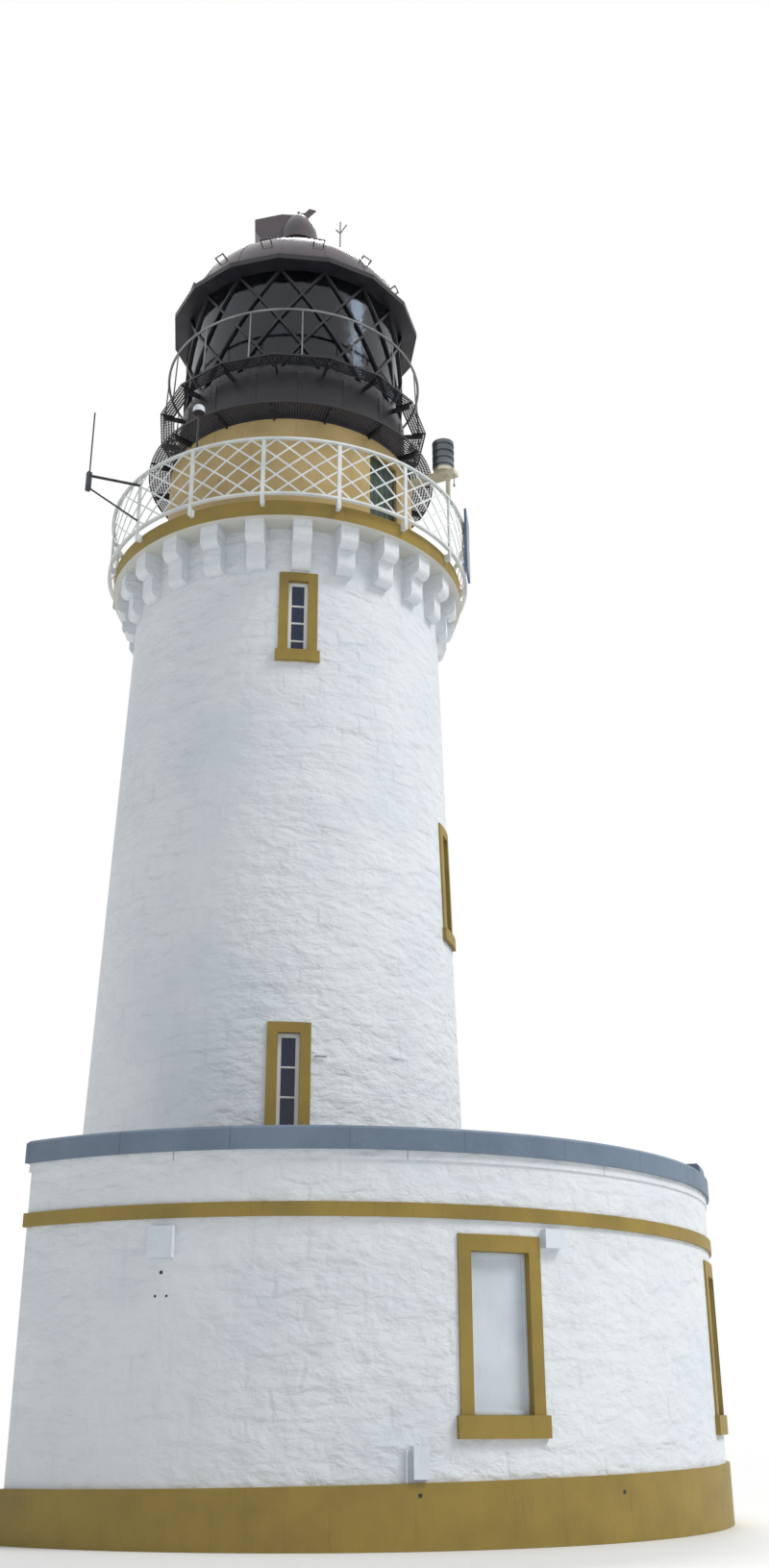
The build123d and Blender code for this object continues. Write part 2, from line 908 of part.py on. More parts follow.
upper_foot = slab_underside - corbel_upper_face
shoulder = upper_foot - corbel_upper_round
lower_foot = shoulder - corbel_lower_face
toe = lower_foot - corbel_lower_round
root = tower_neck_radius / 2
with BuildPart() as one_corbel:
    with BuildSketch(Plane.XZ):
        with BuildLine():
            Line((corbel_reach, slab_underside), (corbel_reach, upper_foot))
            TangentArc((corbel_reach, upper_foot), (corbel_foot_reach, shoulder), tangent=(0, -1))
            Line((corbel_foot_reach, shoulder), (corbel_foot_reach, lower_foot))
            TangentArc((corbel_foot_reach, lower_foot), (tower_neck_radius, toe), tangent=(0, -1))
            Line((tower_neck_radius, toe), (root, toe))
            Line((root, toe), (root, slab_underside))
            Line((root, slab_underside), (corbel_reach, slab_underside))
        make_face()
    extrude(amount=corbel_width / 2, both=True)
    add(tower_body(seat_gap), mode=Mode.SUBTRACT)

with BuildPart() as corbels:
    with PolarLocations(0, corbel_count, start_angle=polar(corbel_bearing)):
        add(one_corbel.part)
finish(corbels.part, "corbels")

# Gallery railing: rails in one length a bay, posts fixed outside the slab's edge
post_trim = post_width / 2 + seat_gap
top_rail_bay = bay_shell(rail_foot, rail_thickness, rail_outer, rail_inner, rail_joint)
finish(every_bay(top_rail_bay), "gallery_top_rail")

bottom_rail_bay = bay_shell(bottom_rail_level, rail_thickness, rail_outer, rail_inner, post_trim)
finish(every_bay(bottom_rail_bay), "gallery_bottom_rail")

post_foot = gallery_level - post_drop
post_inner = railing_radius - post_depth / 2
post_outer = railing_radius + post_depth / 2
with BuildPart() as one_post:
    add(tower_block(bay_bearing, post_inner, post_outer, post_width, post_foot, rail_foot))
    add(tower_block(bay_bearing, root, post_inner, post_width, post_foot, gallery_level))
    with BuildSketch(Plane.XY.offset(post_foot)):
        Circle(gallery_radius + seat_gap)
    extrude(amount=post_drop, mode=Mode.SUBTRACT)
finish(every_bay(one_post.part), "gallery_posts")

lattice_foot = bottom_rail_level + rail_thickness
lattice_height = rail_foot - lattice_foot
lattice_pitch = 2 * railing_radius * sin(radians(bay_angle / 2)) / lattice_cells
lattice_slope = degrees(atan2(lattice_height / lattice_cells, lattice_pitch))
lattice_shell = bay_shell(
    lattice_foot,
    lattice_height,
    railing_radius + lattice_bar_thickness / 2,
    railing_radius - lattice_bar_thickness / 2,
    post_trim,
)
railing_lattice_bay = lattice_bay(
    lattice_foot,
    rail_foot,
    lattice_lines,
    lattice_slope,
    lattice_pitch,
    lattice_bar_width,
    lattice_shell,
)
finish(every_bay(railing_lattice_bay), "gallery_lattice")

# Lantern wall and gallery door
gallery_door_foot = gallery_level + gallery_door_sill
gallery_door_head = gallery_door_foot + gallery_door_height
gallery_door_face = lantern_wall_radius - gallery_door_recess
with BuildPart() as lantern_wall:
    lantern_wall_bore = lantern_wall_radius - lantern_wall_thickness
    add(ring(gallery_level, lantern_wall_height, lantern_wall_radius, lantern_wall_bore))
    add(
        tower_block(
            gallery_door_bearing,
            lantern_wall_bore / 2,
            gallery_radius,
            gallery_door_width,
            gallery_door_foot,
            gallery_door_head,
        ),
        mode=Mode.SUBTRACT,
    )
finish(lantern_wall.part, "lantern_wall")

gallery_door = tower_block(
    gallery_door_bearing,
    gallery_door_face - gallery_door_thickness,
    gallery_door_face,
    gallery_door_width,
    gallery_door_foot,
    gallery_door_head,
)
finish(gallery_door, "gallery_door")

# Iron lantern floor on the wall, with the drum and the lower walkway on it
with BuildPart() as lantern_floor:
    with BuildSketch(Plane.XY.offset(lantern_wall_top)):
        Circle(lantern_wall_radius)
    extrude(amount=lantern_floor_thickness)
finish(lantern_floor.part, "lantern_floor")

with BuildPart() as lantern_drum:
    add(ring(lantern_floor_top, drum_height, drum_radius, drum_bore))
    add(ring(lantern_floor_top, drum_flange_thickness, drum_radius, flange_bore))
    add(ring(drum_top, glazing_sill_height, drum_radius, flange_bore))
finish(lantern_drum.part, "lantern_drum")

with BuildPart() as lower_walkway:
    add(ring(lantern_floor_top, walkway_thickness, lower_walkway_radius, walkway_bore))
    with PolarLocations(0, bay_count):
        add(walkway_bracket(lantern_wall_radius, lower_walkway_radius, lantern_floor_top))
finish(lower_walkway.part, "lower_walkway")

# Upper walkway: a many-sided ring on brackets that stand out from the drum
upper_walkway_foot = upper_walkway_level - walkway_thickness
with BuildPart() as upper_walkway:
    with BuildSketch(Plane.XY.offset(upper_walkway_foot)):
        turn = polar(bay_bearing)
        RegularPolygon(upper_walkway_radius, bay_count, rotation=turn)
        RegularPolygon(
            upper_walkway_inner_radius, bay_count, rotation=turn, mode=Mode.SUBTRACT
        )
    extrude(amount=walkway_thickness)
    with PolarLocations(0, bay_count):
        add(walkway_bracket(drum_radius, upper_walkway_radius, upper_walkway_foot))
finish(upper_walkway.part, "upper_walkway")

# Handrail round the glazing: a bent tube in one length a bay, with a stanchion under each
rail_trim = degrees(rail_joint / handrail_radius)
with BuildPart() as handrail_bay:
    with BuildSketch(along(bay_bearing + rail_trim)):
        with Locations((handrail_radius, handrail_level)):
            Circle(handrail_diameter / 2)
    revolve(axis=Axis.Z, revolution_arc=bay_angle - 2 * rail_trim)
    stanchion_bearing = bay_bearing + bay_angle / 2
    stanchion_foot = spot(stanchion_bearing, stanchion_foot_radius, upper_walkway_level)
    stanchion_head = spot(stanchion_bearing, handrail_radius, handrail_level)
    add(round_bar(stanchion_foot, stanchion_head, stanchion_diameter))
    split(bisect_by=Plane.XY.offset(upper_walkway_level), keep=Keep.TOP)
finish(every_bay(handrail_bay.part), "walkway_handrail")

# Glazing: diagonal bars outside, curved panes behind them
astragal_pitch = 2 * glazing_radius * sin(radians(bay_angle / 2))
astragal_slope = degrees(atan2(glazing_height / glazing_tiers, astragal_pitch))
astragal_inner = glazing_radius - astragal_depth
astragal_shell = bay_shell(
    glazing_foot, glazing_height, glazing_radius, astragal_inner, rail_joint
)
astragal_bay = lattice_bay(
    glazing_foot,
    glazing_head,
    glazing_lines,
    astragal_slope,
    astragal_pitch,
    astragal_width,
    astragal_shell,
)
finish(every_bay(astragal_bay), "astragals")

pane_outer = astragal_inner - seat_gap
pane_inner = pane_outer - pane_thickness
pane = bay_shell(glazing_foot, glazing_height, pane_outer, pane_inner, rail_joint)
finish(every_bay(pane), "lantern_glass")

# Eave and dome
with BuildPart() as lantern_eave:
    with BuildSketch(Plane.XY.offset(glazing_head)):
        RegularPolygon(eave_radius, bay_count, rotation=polar(bay_bearing))
        Circle(flange_bore, mode=Mode.SUBTRACT)
    extrude(amount=eave_height)
finish(lantern_eave.part, "lantern_eave")

with BuildPart() as dome:
    add(dome_form(0))
    add(dome_form(-dome_shell), mode=Mode.SUBTRACT)
    with BuildSketch(Plane.XY.offset(dome_base)):
        Circle(neck_radius - neck_shell)
    extrude(amount=2 * dome_rise, mode=Mode.SUBTRACT)
finish(dome.part, "dome")

# Handholds in a row round the dome
with BuildPart() as dome_handholds:
    with PolarLocations(0, handhold_count):
        add(handhold())
finish(dome_handholds.part, "dome_handholds")

# Ventilator neck, with a spider inside that carries the cowl's spindle
with BuildPart() as ventilator_neck:
    add(ring(dome_base, neck_top - dome_base, neck_radius, neck_radius - neck_shell))
    add(dome_form(seat_gap), mode=Mode.SUBTRACT)
    with BuildSketch(Plane.XY.offset(spider_level)):
        Rectangle(2 * neck_radius - neck_shell, spider_width)
        Rectangle(spider_width, 2 * neck_radius - neck_shell)
    extrude(amount=spider_height)
    with BuildSketch(Plane.XY.offset(spider_level)):
        Circle(spindle_diameter / 2)
    extrude(amount=spindle_top - spider_level)
finish(ventilator_neck.part, "ventilator_neck")


def cowl_form(growth):
    """The cowl's outer form: a round body with a crown, and a hood to one side."""
    with BuildPart() as form:
        with BuildSketch(Plane.XZ):
            radius = cowl_radius + growth
            rise = cowl_crown_level - cowl_shoulder_level + growth
            half = sqrt(0.5)
            with BuildLine():
                Spline(
                    (radius, cowl_shoulder_level),
                    (half * radius, cowl_shoulder_level + half * rise),
                    (0, cowl_shoulder_level + rise),
                    tangents=((0, 1), (-1, 0)),
                )
                Polyline(
                    (0, cowl_shoulder_level + rise),
                    (0, cowl_skirt_level),
                    (radius, cowl_skirt_level),
                    (radius, cowl_shoulder_level),
                )
            make_face()
        revolve(axis=Axis.Z)
        with BuildSketch(along(cowl_bearing)):
            with BuildLine():
                Polyline(
                    (0, cowl_skirt_level),
                    (hood_foot_reach, cowl_skirt_level),
                    (mouth_lip_reach, mouth_lip_level),
                    (mouth_top_reach, mouth_top_level),
                    (hood_brow_reach, hood_brow_level),
                    (0, hood_brow_level),
                    close=True,
                )
            make_face()
            if growth:
                offset(amount=growth)
        extrude(amount=hood_width / 2 + growth, both=True)
    return form.part


crown_drop = cowl_crown_rise * (1 - sqrt(1 - (vane_root / cowl_radius) ** 2))
vane_root_level = cowl_crown_level - crown_drop - cowl_shell
vane_peak = cowl_crown_level + vane_peak_rise
vane_tip = cowl_crown_level + vane_tip_rise
boss_top = cowl_crown_level + boss_height
with BuildPart() as cowl:
    add(cowl_form(0))
    with BuildSketch(Plane.XY.offset(cowl_crown_level - cowl_shell)):
        Circle(boss_radius)
    extrude(amount=boss_height + cowl_shell)
    with BuildSketch(along(cowl_bearing + 180)):
        with BuildLine():
            Polyline(
                (0, cowl_crown_level - cowl_shell),
                (boss_radius / 2, boss_top - boss_radius),
                (vane_root / 2 + boss_radius, boss_top),
                (vane_peak_reach, vane_peak),
                (vane_reach, vane_tip),
                (vane_root, cowl_crown_level),
                (vane_root, vane_root_level),
                close=True,
            )
        make_face()
    extrude(amount=vane_thickness / 2, both=True)
    add(cowl_form(-cowl_shell), mode=Mode.SUBTRACT)
    with BuildSketch(Plane.XY.offset(cowl_skirt_level)):
        Circle(cowl_radius - cowl_shell)
    extrude(amount=cowl_skirt_height, mode=Mode.SUBTRACT)
    mouth_width = hood_width - 2 * cowl_shell
    mouth_head = mouth_top_level - cowl_shell
    mouth_far = 2 * mouth_top_reach
    add(
        tower_block(
            cowl_bearing, hood_foot_reach, mouth_far, mouth_width, mouth_lip_level, mouth_head
        ),
        mode=Mode.SUBTRACT,
    )
    socket_bore = spindle_diameter / 2 + spindle_clearance
    socket_top = spindle_top + seat_gap
    with BuildSketch(Plane.XY.offset(socket_top - socket_depth)):
        Circle(socket_bore + socket_wall)
    extrude(amount=cowl_crown_level - cowl_shell / 2 - socket_top + socket_depth)
    with BuildSketch(Plane.XY.offset(socket_top - socket_depth)):
        Circle(socket_bore)
    extrude(amount=socket_depth, mode=Mode.SUBTRACT)
finish(cowl.part, "cowl")

# Forked aerial on the dome
with BuildPart() as dome_aerial:
    aerial_foot_level = dome_level_at(dome_aerial_radius)
    fork_level = aerial_foot_level + dome_aerial_stem
    tip_level = aerial_foot_level + dome_aerial_height
    foot = spot(dome_aerial_bearing, dome_aerial_radius, aerial_foot_level - dome_aerial_rod)
    fork = spot(dome_aerial_bearing, dome_aerial_radius, fork_level)
    tip = spot(dome_aerial_bearing, dome_aerial_radius, tip_level)
    add(round_bar(foot, fork, dome_aerial_rod))
    add(round_bar(fork, tip, dome_aerial_rod))
    side_turn = degrees(dome_aerial_spread / dome_aerial_radius)
    side_tip = spot(dome_aerial_bearing + side_turn, dome_aerial_radius, tip_level)
    add(round_bar(fork, side_tip, dome_aerial_rod))
    arm_turn = degrees(dome_aerial_arm / dome_aerial_radius)
    arm_level = fork_level + dome_aerial_arm / 2
    arm_tip = spot(dome_aerial_bearing - arm_turn, dome_aerial_radius, arm_level)
    add(round_bar(fork, arm_tip, dome_aerial_rod))
    add(dome_form(seat_gap), mode=Mode.SUBTRACT)
finish(dome_aerial.part, "dome_aerial")

# Lamp pedestal and optic inside the glazing
with BuildPart() as optic_pedestal:
    with BuildSketch(Plane.XY.offset(lantern_floor_top)):
        Circle(pedestal_radius)
    extrude(amount=pedestal_height - table_thickness)
    with BuildSketch(Plane.XY.offset(lantern_floor_top + pedestal_height - table_thickness)):
        Circle(table_radius)
    extrude(amount=table_thickness)
finish(optic_pedestal.part, "optic_pedestal")

optic_foot = lantern_floor_top + pedestal_height
with BuildPart() as optic:
    with BuildSketch(Plane.XZ):
        with BuildLine():
            ThreePointArc(
                (optic_radius, optic_foot),
                (optic_belly, optic_foot + optic_height / 2),
                (optic_radius, optic_foot + optic_height),
            )
            Polyline(
                (optic_radius, optic_foot + optic_height),
                (0, optic_foot + optic_height),
                (0, optic_foot),
                (optic_radius, optic_foot),
            )
        make_face()
    revolve(axis=Axis.Z)
finish(optic.part, "optic")

# Side aerial: a whip between the tips of two tubes that stand out from a railing post
with BuildPart() as side_aerial:
    bearing = bay_bearing + side_aerial_bay * bay_angle
    tip_radius = railing_radius + side_aerial_length
    whip_radius = tip_radius - side_aerial_tube
    brace_tip_level = rail_top - side_aerial_brace_tip_drop
    tube_root = spot(bearing, railing_radius, rail_top - side_aerial_root_drop)
    tube_tip = spot(bearing, tip_radius, rail_top - side_aerial_tip_drop)
    brace_root = spot(bearing, railing_radius, rail_top - side_aerial_brace_root_drop)
    brace_tip = spot(bearing, tip_radius, brace_tip_level)
    whip_foot = spot(bearing, whip_radius, brace_tip_level - side_aerial_tube)
    whip_top = spot(bearing, whip_radius, rail_top + whip_rise)
    add(round_bar(tube_root, tube_tip, side_aerial_tube))
    add(round_bar(brace_root, brace_tip, side_aerial_brace))
    add(round_bar(whip_foot, whip_top, whip_rod))
    split(bisect_by=facing(bearing, post_outer), keep=Keep.TOP)
finish(side_aerial.part, "side_aerial")

# Capped signal lamp on a rod that stands on the top rail, beside a post
with BuildPart() as signal_lamp:
    lamp_turn = degrees(lamp_shift / railing_radius)
    bearing = bay_bearing + lamp_bay * bay_angle + lamp_turn
    cap_foot = rail_top + lamp_rod_height
    rod_foot = spot(bearing, railing_radius, rail_top)
    rod_head = spot(bearing, railing_radius, cap_foot)
    add(round_bar(rod_foot, rod_head, lamp_rod))
    with BuildSketch(Plane.XY.offset(cap_foot)):
        with Locations(rod_head[:2]):
            Circle(lamp_cap_radius)
    extrude(amount=lamp_cap_height)
    fillet(signal_lamp.edges().group_by(Axis.Z)[-1], radius=lamp_cap_height / 2)
finish(signal_lamp.part, "signal_lamp")

# Ribbed beacon on a channel arm that a short post carries on the top rail
beacon_arm_level = rail_top + beacon_post_height
beacon_foot = beacon_arm_level + beacon_arm_height
beacon_bearing = bay_bearing + beacon_bay * bay_angle
with BuildPart() as beacon_arm:
    add(
        tower_block(
            beacon_bearing,
            lantern_wall_radius + beacon_arm_clearance,
            railing_radius + beacon_arm_projection,
            beacon_arm_width,
            beacon_arm_level,
            beacon_foot,
        )
    )
    post_near = railing_radius - beacon_post_size / 2
    post_far = railing_radius + beacon_post_size / 2
    add(
        tower_block(
            beacon_bearing, post_near, post_far, beacon_post_size, rail_top, beacon_arm_level
        )
    )
finish(beacon_arm.part, "beacon_arm")

with BuildPart() as beacon:
    centre = spot(beacon_bearing, railing_radius - beacon_setback, beacon_foot)
    with BuildSketch(Plane.XY.offset(beacon_foot)):
        with Locations(centre[:2]):
            Circle(beacon_radius)
    extrude(amount=beacon_height)
    rib_pitch = (beacon_height - beacon_base_height) / beacon_ribs
    for rib in range(beacon_ribs):
        rib_level = beacon_foot + beacon_height - rib * rib_pitch - beacon_rib_height
        with BuildSketch(Plane.XY.offset(rib_level)):
            with Locations(centre[:2]):
                Circle(beacon_radius + beacon_rib_projection)
        extrude(amount=beacon_rib_height)
finish(beacon.part, "beacon")

# Flat panel hung outside the railing, on a hook that reaches over the top rail
with BuildPart() as side_panel:
    panel_near = rail_outer + side_panel_gap
    panel_far = panel_near + side_panel_thickness
    panel_foot = gallery_level + side_panel_clearance
    panel_top = panel_foot + side_panel_height
    add(
        tower_block(
            side_panel_bearing,
            panel_near,
            panel_far,
            side_panel_width,
            panel_foot,
            panel_top,
        )
    )
    hook_top = rail_top + side_panel_hook
    add(
        tower_block(
            side_panel_bearing,
            rail_inner,
            panel_near,
            side_panel_width / 2,
            rail_top,
            hook_top,
        )
    )
finish(side_panel.part, "side_panel")
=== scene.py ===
import json
from math import cos, degrees, radians, sin, sqrt, tau

import bmesh
import bpy
from mathutils import Matrix, Vector


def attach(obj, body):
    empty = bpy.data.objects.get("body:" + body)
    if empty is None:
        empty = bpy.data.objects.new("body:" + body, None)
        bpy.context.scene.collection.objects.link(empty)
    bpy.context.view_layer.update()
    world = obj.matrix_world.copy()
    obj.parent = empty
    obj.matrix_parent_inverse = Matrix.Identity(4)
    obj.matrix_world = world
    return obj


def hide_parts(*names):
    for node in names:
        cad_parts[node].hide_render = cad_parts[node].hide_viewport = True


# Looks of the lighthouse: a material for every solid, fine detail, floor, light and camera.
# Metres, in the model's frame: the origin is on the tower's axis at the lowest ground, and a
# bearing is an angle about the axis, 0 towards -Y and positive towards +X.

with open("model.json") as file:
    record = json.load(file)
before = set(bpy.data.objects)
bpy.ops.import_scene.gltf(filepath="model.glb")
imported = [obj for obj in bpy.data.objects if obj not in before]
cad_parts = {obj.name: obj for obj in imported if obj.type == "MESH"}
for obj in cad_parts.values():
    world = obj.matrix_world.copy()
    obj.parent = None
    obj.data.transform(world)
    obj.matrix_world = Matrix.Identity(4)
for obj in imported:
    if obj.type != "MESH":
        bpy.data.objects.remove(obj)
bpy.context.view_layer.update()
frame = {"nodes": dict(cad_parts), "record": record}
nodes = frame["nodes"]

# Sizes that the detail shares with the solids
ANNEX_Y = -0.88
ANNEX_RADIUS = 5.35
TOWER_FOOT = 2.923
TOWER_NECK = 2.536
NECK_LEVEL = 13.02
RAILING_RADIUS = 3.03
BAYS = 16
BAY_BEARING = 9.1
BAY_ANGLE = 360 / BAYS
LANTERN_WALL_RADIUS = 2.12
DRUM_RADIUS = 2.0
DRUM_FOOT = 16.35
DRUM_TOP = 17.40
DOME_BASE = 19.65
DOME_RADIUS = 2.037
DOME_RISE = 1.513
LOWER_WALKWAY = 2.5
UPPER_WALKWAY = 2.395
UPPER_WALKWAY_INNER = 2.15
UPPER_WALKWAY_LEVEL = 17.431
LOWER_WALKWAY_INNER = 2.02
LOWER_WALKWAY_LEVEL = 16.386
WALKWAY_THICKNESS = 0.036
OPTIC_FOOT = 17.75
OPTIC_RADIUS = 0.76
OPTIC_BELLY = 0.92
OPTIC_HEIGHT = 1.5
BED_LEVEL = 3.824
COPING_LEVEL = 3.924
COPING_TOP = 4.178
LAMP_CAP_FOOT = 15.954
BEACON_BASE_TOP = 15.83
BEACON_ARM_FOOT = 15.69
BEACON_ARM_REACH = 3.14
WINDOW_COLUMN = -46.6
SIDE_WINDOW = 21.5
REAR = 180.0
ANNEX_WINDOWS = (-30.2, 19.5, 69.0)
GALLERY_DOOR_BEARING = -3
REAR_OPENING_X = 3.85
LEFT_BOX_BEARING = -70.1
SIDE_AERIAL_BAY = 11

# Sockets that have no name of their own on a mix node of colours
MIX_SHARE = 0
MIX_UNDER = 6
MIX_OVER = 7
MIX_RESULT = 2

# Highest channel value, and the bend of the screen's colour curve
FULL = 255
CURVE_START = 0.04045
CURVE_FOOT_SLOPE = 12.92
CURVE_OFFSET = 0.055
CURVE_POWER = 2.4


def paint(red, green, blue):
    """A colour given as it shows on a screen, 0 to 255, as the shader wants it."""
    channels = []
    for value in (red, green, blue):
        share = value / FULL
        if share <= CURVE_START:
            channels.append(share / CURVE_FOOT_SLOPE)
        else:
            channels.append(((share + CURVE_OFFSET) / (1 + CURVE_OFFSET)) ** CURVE_POWER)
    return (*channels, 1.0)


class Finish:
    """A node material, built up layer by layer."""

    def __init__(self, name, colour, roughness, metallic=0.0):
        self.material = bpy.data.materials.new(name)
        self.material.use_nodes = True
        self.tree = self.material.node_tree
        self.shader = self.tree.nodes["Principled BSDF"]
        self.shader.inputs["Roughness"].default_value = roughness
        self.shader.inputs["Metallic"].default_value = metallic
        self.shader.inputs["Base Color"].default_value = colour
        self.colour = colour
        self.normal = None
        self.place = self.add("TexCoord").outputs["Object"]

    def add(self, kind, inputs=None, **settings):
        """A shader node, with its settings, and its inputs as values or as other nodes' outputs."""
        made = self.tree.nodes.new("ShaderNode" + kind)
        for key, value in settings.items():
            setattr(made, key, value)
        for socket, value in (inputs or {}).items():
            self.feed(made.inputs[socket], value)
        return made

    def feed(self, socket, value):
        if isinstance(value, bpy.types.NodeSocket):
            self.tree.links.new(value, socket)
        else:
            socket.default_value = value

    def stretched(self, x, y, z):
        """The place, with each axis stretched by its own factor."""
        return self.add("Mapping", {"Vector": self.place, "Scale": (x, y, z)}).outputs[0]

    def noise(self, scale, detail, place=None, distortion=0.0, roughness=0.55):
        inputs = {
            "Vector": place or self.place,
            "Scale": scale,
            "Detail": detail,
            "Roughness": roughness,
            "Distortion": distortion,
        }
        return self.add("TexNoise", inputs).outputs["Fac"]

    def ramp(self, value, low, high, least=0.0, most=1.0):
        """A value's rise from low to high, turned into a rise from least to most."""
        inputs = {
            "Value": value,
            "From Min": low,
            "From Max": high,
            "To Min": least,
            "To Max": most,
        }
        return self.add("MapRange", inputs).outputs["Result"]

    def worked(self, operation, first, second):
        """Two values worked together by one operation."""
        return self.add("Math", {0: first, 1: second}, operation=operation).outputs[0]

    def moved(self, operation, first, second):
        """Two vectors worked together by one operation."""
        return self.add("VectorMath", {0: first, 1: second}, operation=operation).outputs[0]

    def times(self, first, second):
        return self.worked("MULTIPLY", first, second)

    def plus(self, first, second):
        return self.worked("ADD", first, second)

    def axes(self):
        return self.add("SeparateXYZ", {0: self.place}).outputs

    def tint(self, colour, share):
        """Lays a colour over what is there, by a share from 0 to 1."""
        inputs = {MIX_SHARE: share, MIX_UNDER: self.colour, MIX_OVER: colour}
        mixed = self.add("Mix", inputs, data_type="RGBA")
        self.colour = mixed.outputs[MIX_RESULT]
        self.feed(self.shader.inputs["Base Color"], self.colour)

    def stain(self, colour, value, low, high, most):
        """Lays a colour over what is there, more so as a value rises from low to high."""
        self.tint(colour, self.ramp(value, low, high, most=most))

    def rough(self, value, low, high, least, most):
        self.feed(self.shader.inputs["Roughness"], self.ramp(value, low, high, least, most))

    def bump(self, height, distance, strength):
        inputs = {"Height": height, "Distance": distance, "Strength": strength}
        if self.normal:
            inputs["Normal"] = self.normal
        self.normal = self.add("Bump", inputs).outputs[0]
        self.feed(self.shader.inputs["Normal"], self.normal)

    def groove(self, share, depth, strength):
        """Sinks the surface where a share is high."""
        self.bump(self.ramp(share, 0.0, 1.0, 1.0, 0.0), depth, strength)

    def wrapped(self, centre_y, radius):
        """Distance round an upright axis, level and nothing, as a vector."""
        parts = self.axes()
        ahead = self.worked("SUBTRACT", centre_y, parts["Y"])
        turn = self.worked("ARCTAN2", parts["X"], ahead)
        return self.add("CombineXYZ", {0: self.times(turn, radius), 1: parts["Z"]}).outputs[0]

    def flat(self):
        """Distance across, level and nothing, for a wall that faces Y."""
        parts = self.axes()
        return self.add("CombineXYZ", {0: parts["X"], 1: parts["Z"]}).outputs[0]

    def wandering(self, place, scale, reach):
        """A place that wanders a little from where it is."""
        drift = self.add("TexNoise", {"Vector": self.place, "Scale": scale, "Detail": 2.0})
        middle = (0.5, 0.5, 0.5)
        shift = self.moved("SUBTRACT", drift.outputs["Color"], middle)
        return self.moved("ADD", place, self.moved("MULTIPLY", shift, (reach, reach, reach)))

    def facing_share(self, axis, low, high):
        """1 where the surface faces along an axis by more than high, 0 below low."""
        normal = self.add("NewGeometry").outputs["Normal"]
        along = self.add("SeparateXYZ", {0: normal}).outputs[axis]
        return self.ramp(along, low, high)

    def between(self, value, low, high):
        """1 where a value is between two others."""
        above = self.worked("GREATER_THAN", value, low)
        return self.times(above, self.worked("LESS_THAN", value, high))

    def blocks(self, place, width, height, joint, soft):
        """Stones in courses: the joint's share, and a random shade for each stone."""
        inputs = {
            "Vector": place,
            "Color1": (0, 0, 0, 1),
            "Color2": (1, 1, 1, 1),
            "Mortar": (0.5, 0.5, 0.5, 1),
            "Scale": 1.0,
            "Mortar Size": joint,
            "Mortar Smooth": soft,
            "Brick Width": width,
            "Row Height": height,
        }
        made = self.add("TexBrick", inputs)
        return made.outputs["Fac"], made.outputs["Color"]


# Whitewash over rubble, with painted shade on its lumps, pits and creases
WHITEWASH = paint(222, 226, 230)
WHITEWASH_CLOUD = paint(206, 213, 220)
WHITEWASH_WARM = paint(226, 227, 222)
WHITEWASH_RUN = paint(198, 203, 204)
WHITEWASH_LUMP_PAINTED_SHADE = paint(190, 197, 202)
WHITEWASH_PIT_PAINTED_SHADE = paint(180, 186, 188)
WHITEWASH_CREASE_PAINTED_SHADE = paint(176, 183, 188)
REAR_STONE_WIDTH = 0.62
COURSE_HEIGHT = 0.3
CREASE_WIDTH = 0.05
CREASE_SHADE_SHARE = 0.14
WANDER_SCALE = 1.3
WANDER_REACH = 0.34


def masonry(name, centre_y, radius, count, flat=False):
    """Many coats of white paint on rubble: a lumpy skin, creased here and there along courses."""
    made = Finish(name, WHITEWASH, roughness=0.6)
    place = made.flat() if flat else made.wrapped(centre_y, radius)
    width = REAR_STONE_WIDTH if flat else tau * radius / count
    wandered = made.wandering(place, WANDER_SCALE, WANDER_REACH)
    joints, shades = made.blocks(wandered, width, COURSE_HEIGHT, CREASE_WIDTH, soft=1.0)
    patches = made.ramp(made.noise(scale=1.1, detail=3.0), low=0.46, high=0.62)
    creases = made.times(joints, patches)
    swells = made.noise(scale=1.0, detail=2.0, place=made.stretched(1.3, 1.3, 2.8), distortion=0.3)
    lumps = made.noise(scale=1.0, detail=3.0, place=made.stretched(3.6, 3.6, 6.4), distortion=0.25)
    knobs = made.noise(scale=13.0, detail=4.0, roughness=0.6)
    pits = made.noise(scale=46.0, detail=3.0)
    runs = made.noise(scale=3.0, detail=4.0, place=made.stretched(4.0, 4.0, 0.3))
    clouds = made.noise(scale=0.6, detail=3.0)
    made.stain(WHITEWASH_CLOUD, clouds, low=0.42, high=0.68, most=0.7)
    made.stain(WHITEWASH_WARM, shades, low=0.5, high=1.0, most=0.06)
    made.stain(WHITEWASH_RUN, runs, low=0.6, high=0.8, most=0.35)
    # Painted shade: the lumps of the skin are darkened along with their relief
    made.stain(WHITEWASH_LUMP_PAINTED_SHADE, lumps, low=0.52, high=0.76, most=0.22)
    # Painted shade in the small pits of the skin
    made.stain(WHITEWASH_PIT_PAINTED_SHADE, pits, low=0.64, high=0.76, most=0.3)
    # Painted shade in the creases along the courses
    made.tint(WHITEWASH_CREASE_PAINTED_SHADE, made.times(creases, CREASE_SHADE_SHARE))
    made.rough(knobs, low=0.3, high=0.7, least=0.48, most=0.7)
    made.bump(swells, distance=0.09, strength=0.55)
    made.bump(lumps, distance=0.07, strength=0.6)
    made.groove(creases, depth=0.008, strength=0.7)
    made.bump(knobs, distance=0.014, strength=0.45)
    made.bump(pits, distance=0.003, strength=0.5)
    return made


# Upright joints, in one course that is taller than any band they lie in
JOINT_COURSE = 50.0
JOINT_WIDTH = 0.008
JOINT_SOFTNESS = 0.3
JOINT_DEPTH = 0.006


def jointed(made, count, low, high, dark, strength):
    """Upright joints between dressed stones of a band of the annex between two levels."""
    place = made.wrapped(ANNEX_Y, ANNEX_RADIUS)
    stone_width = tau * ANNEX_RADIUS / count
    joints = made.blocks(place, stone_width, JOINT_COURSE, JOINT_WIDTH, JOINT_SOFTNESS)[0]
    share = made.times(joints, made.between(made.axes()["Z"], low, high))
    made.tint(dark, made.times(share, strength))
    made.groove(share, depth=JOINT_DEPTH, strength=0.7)


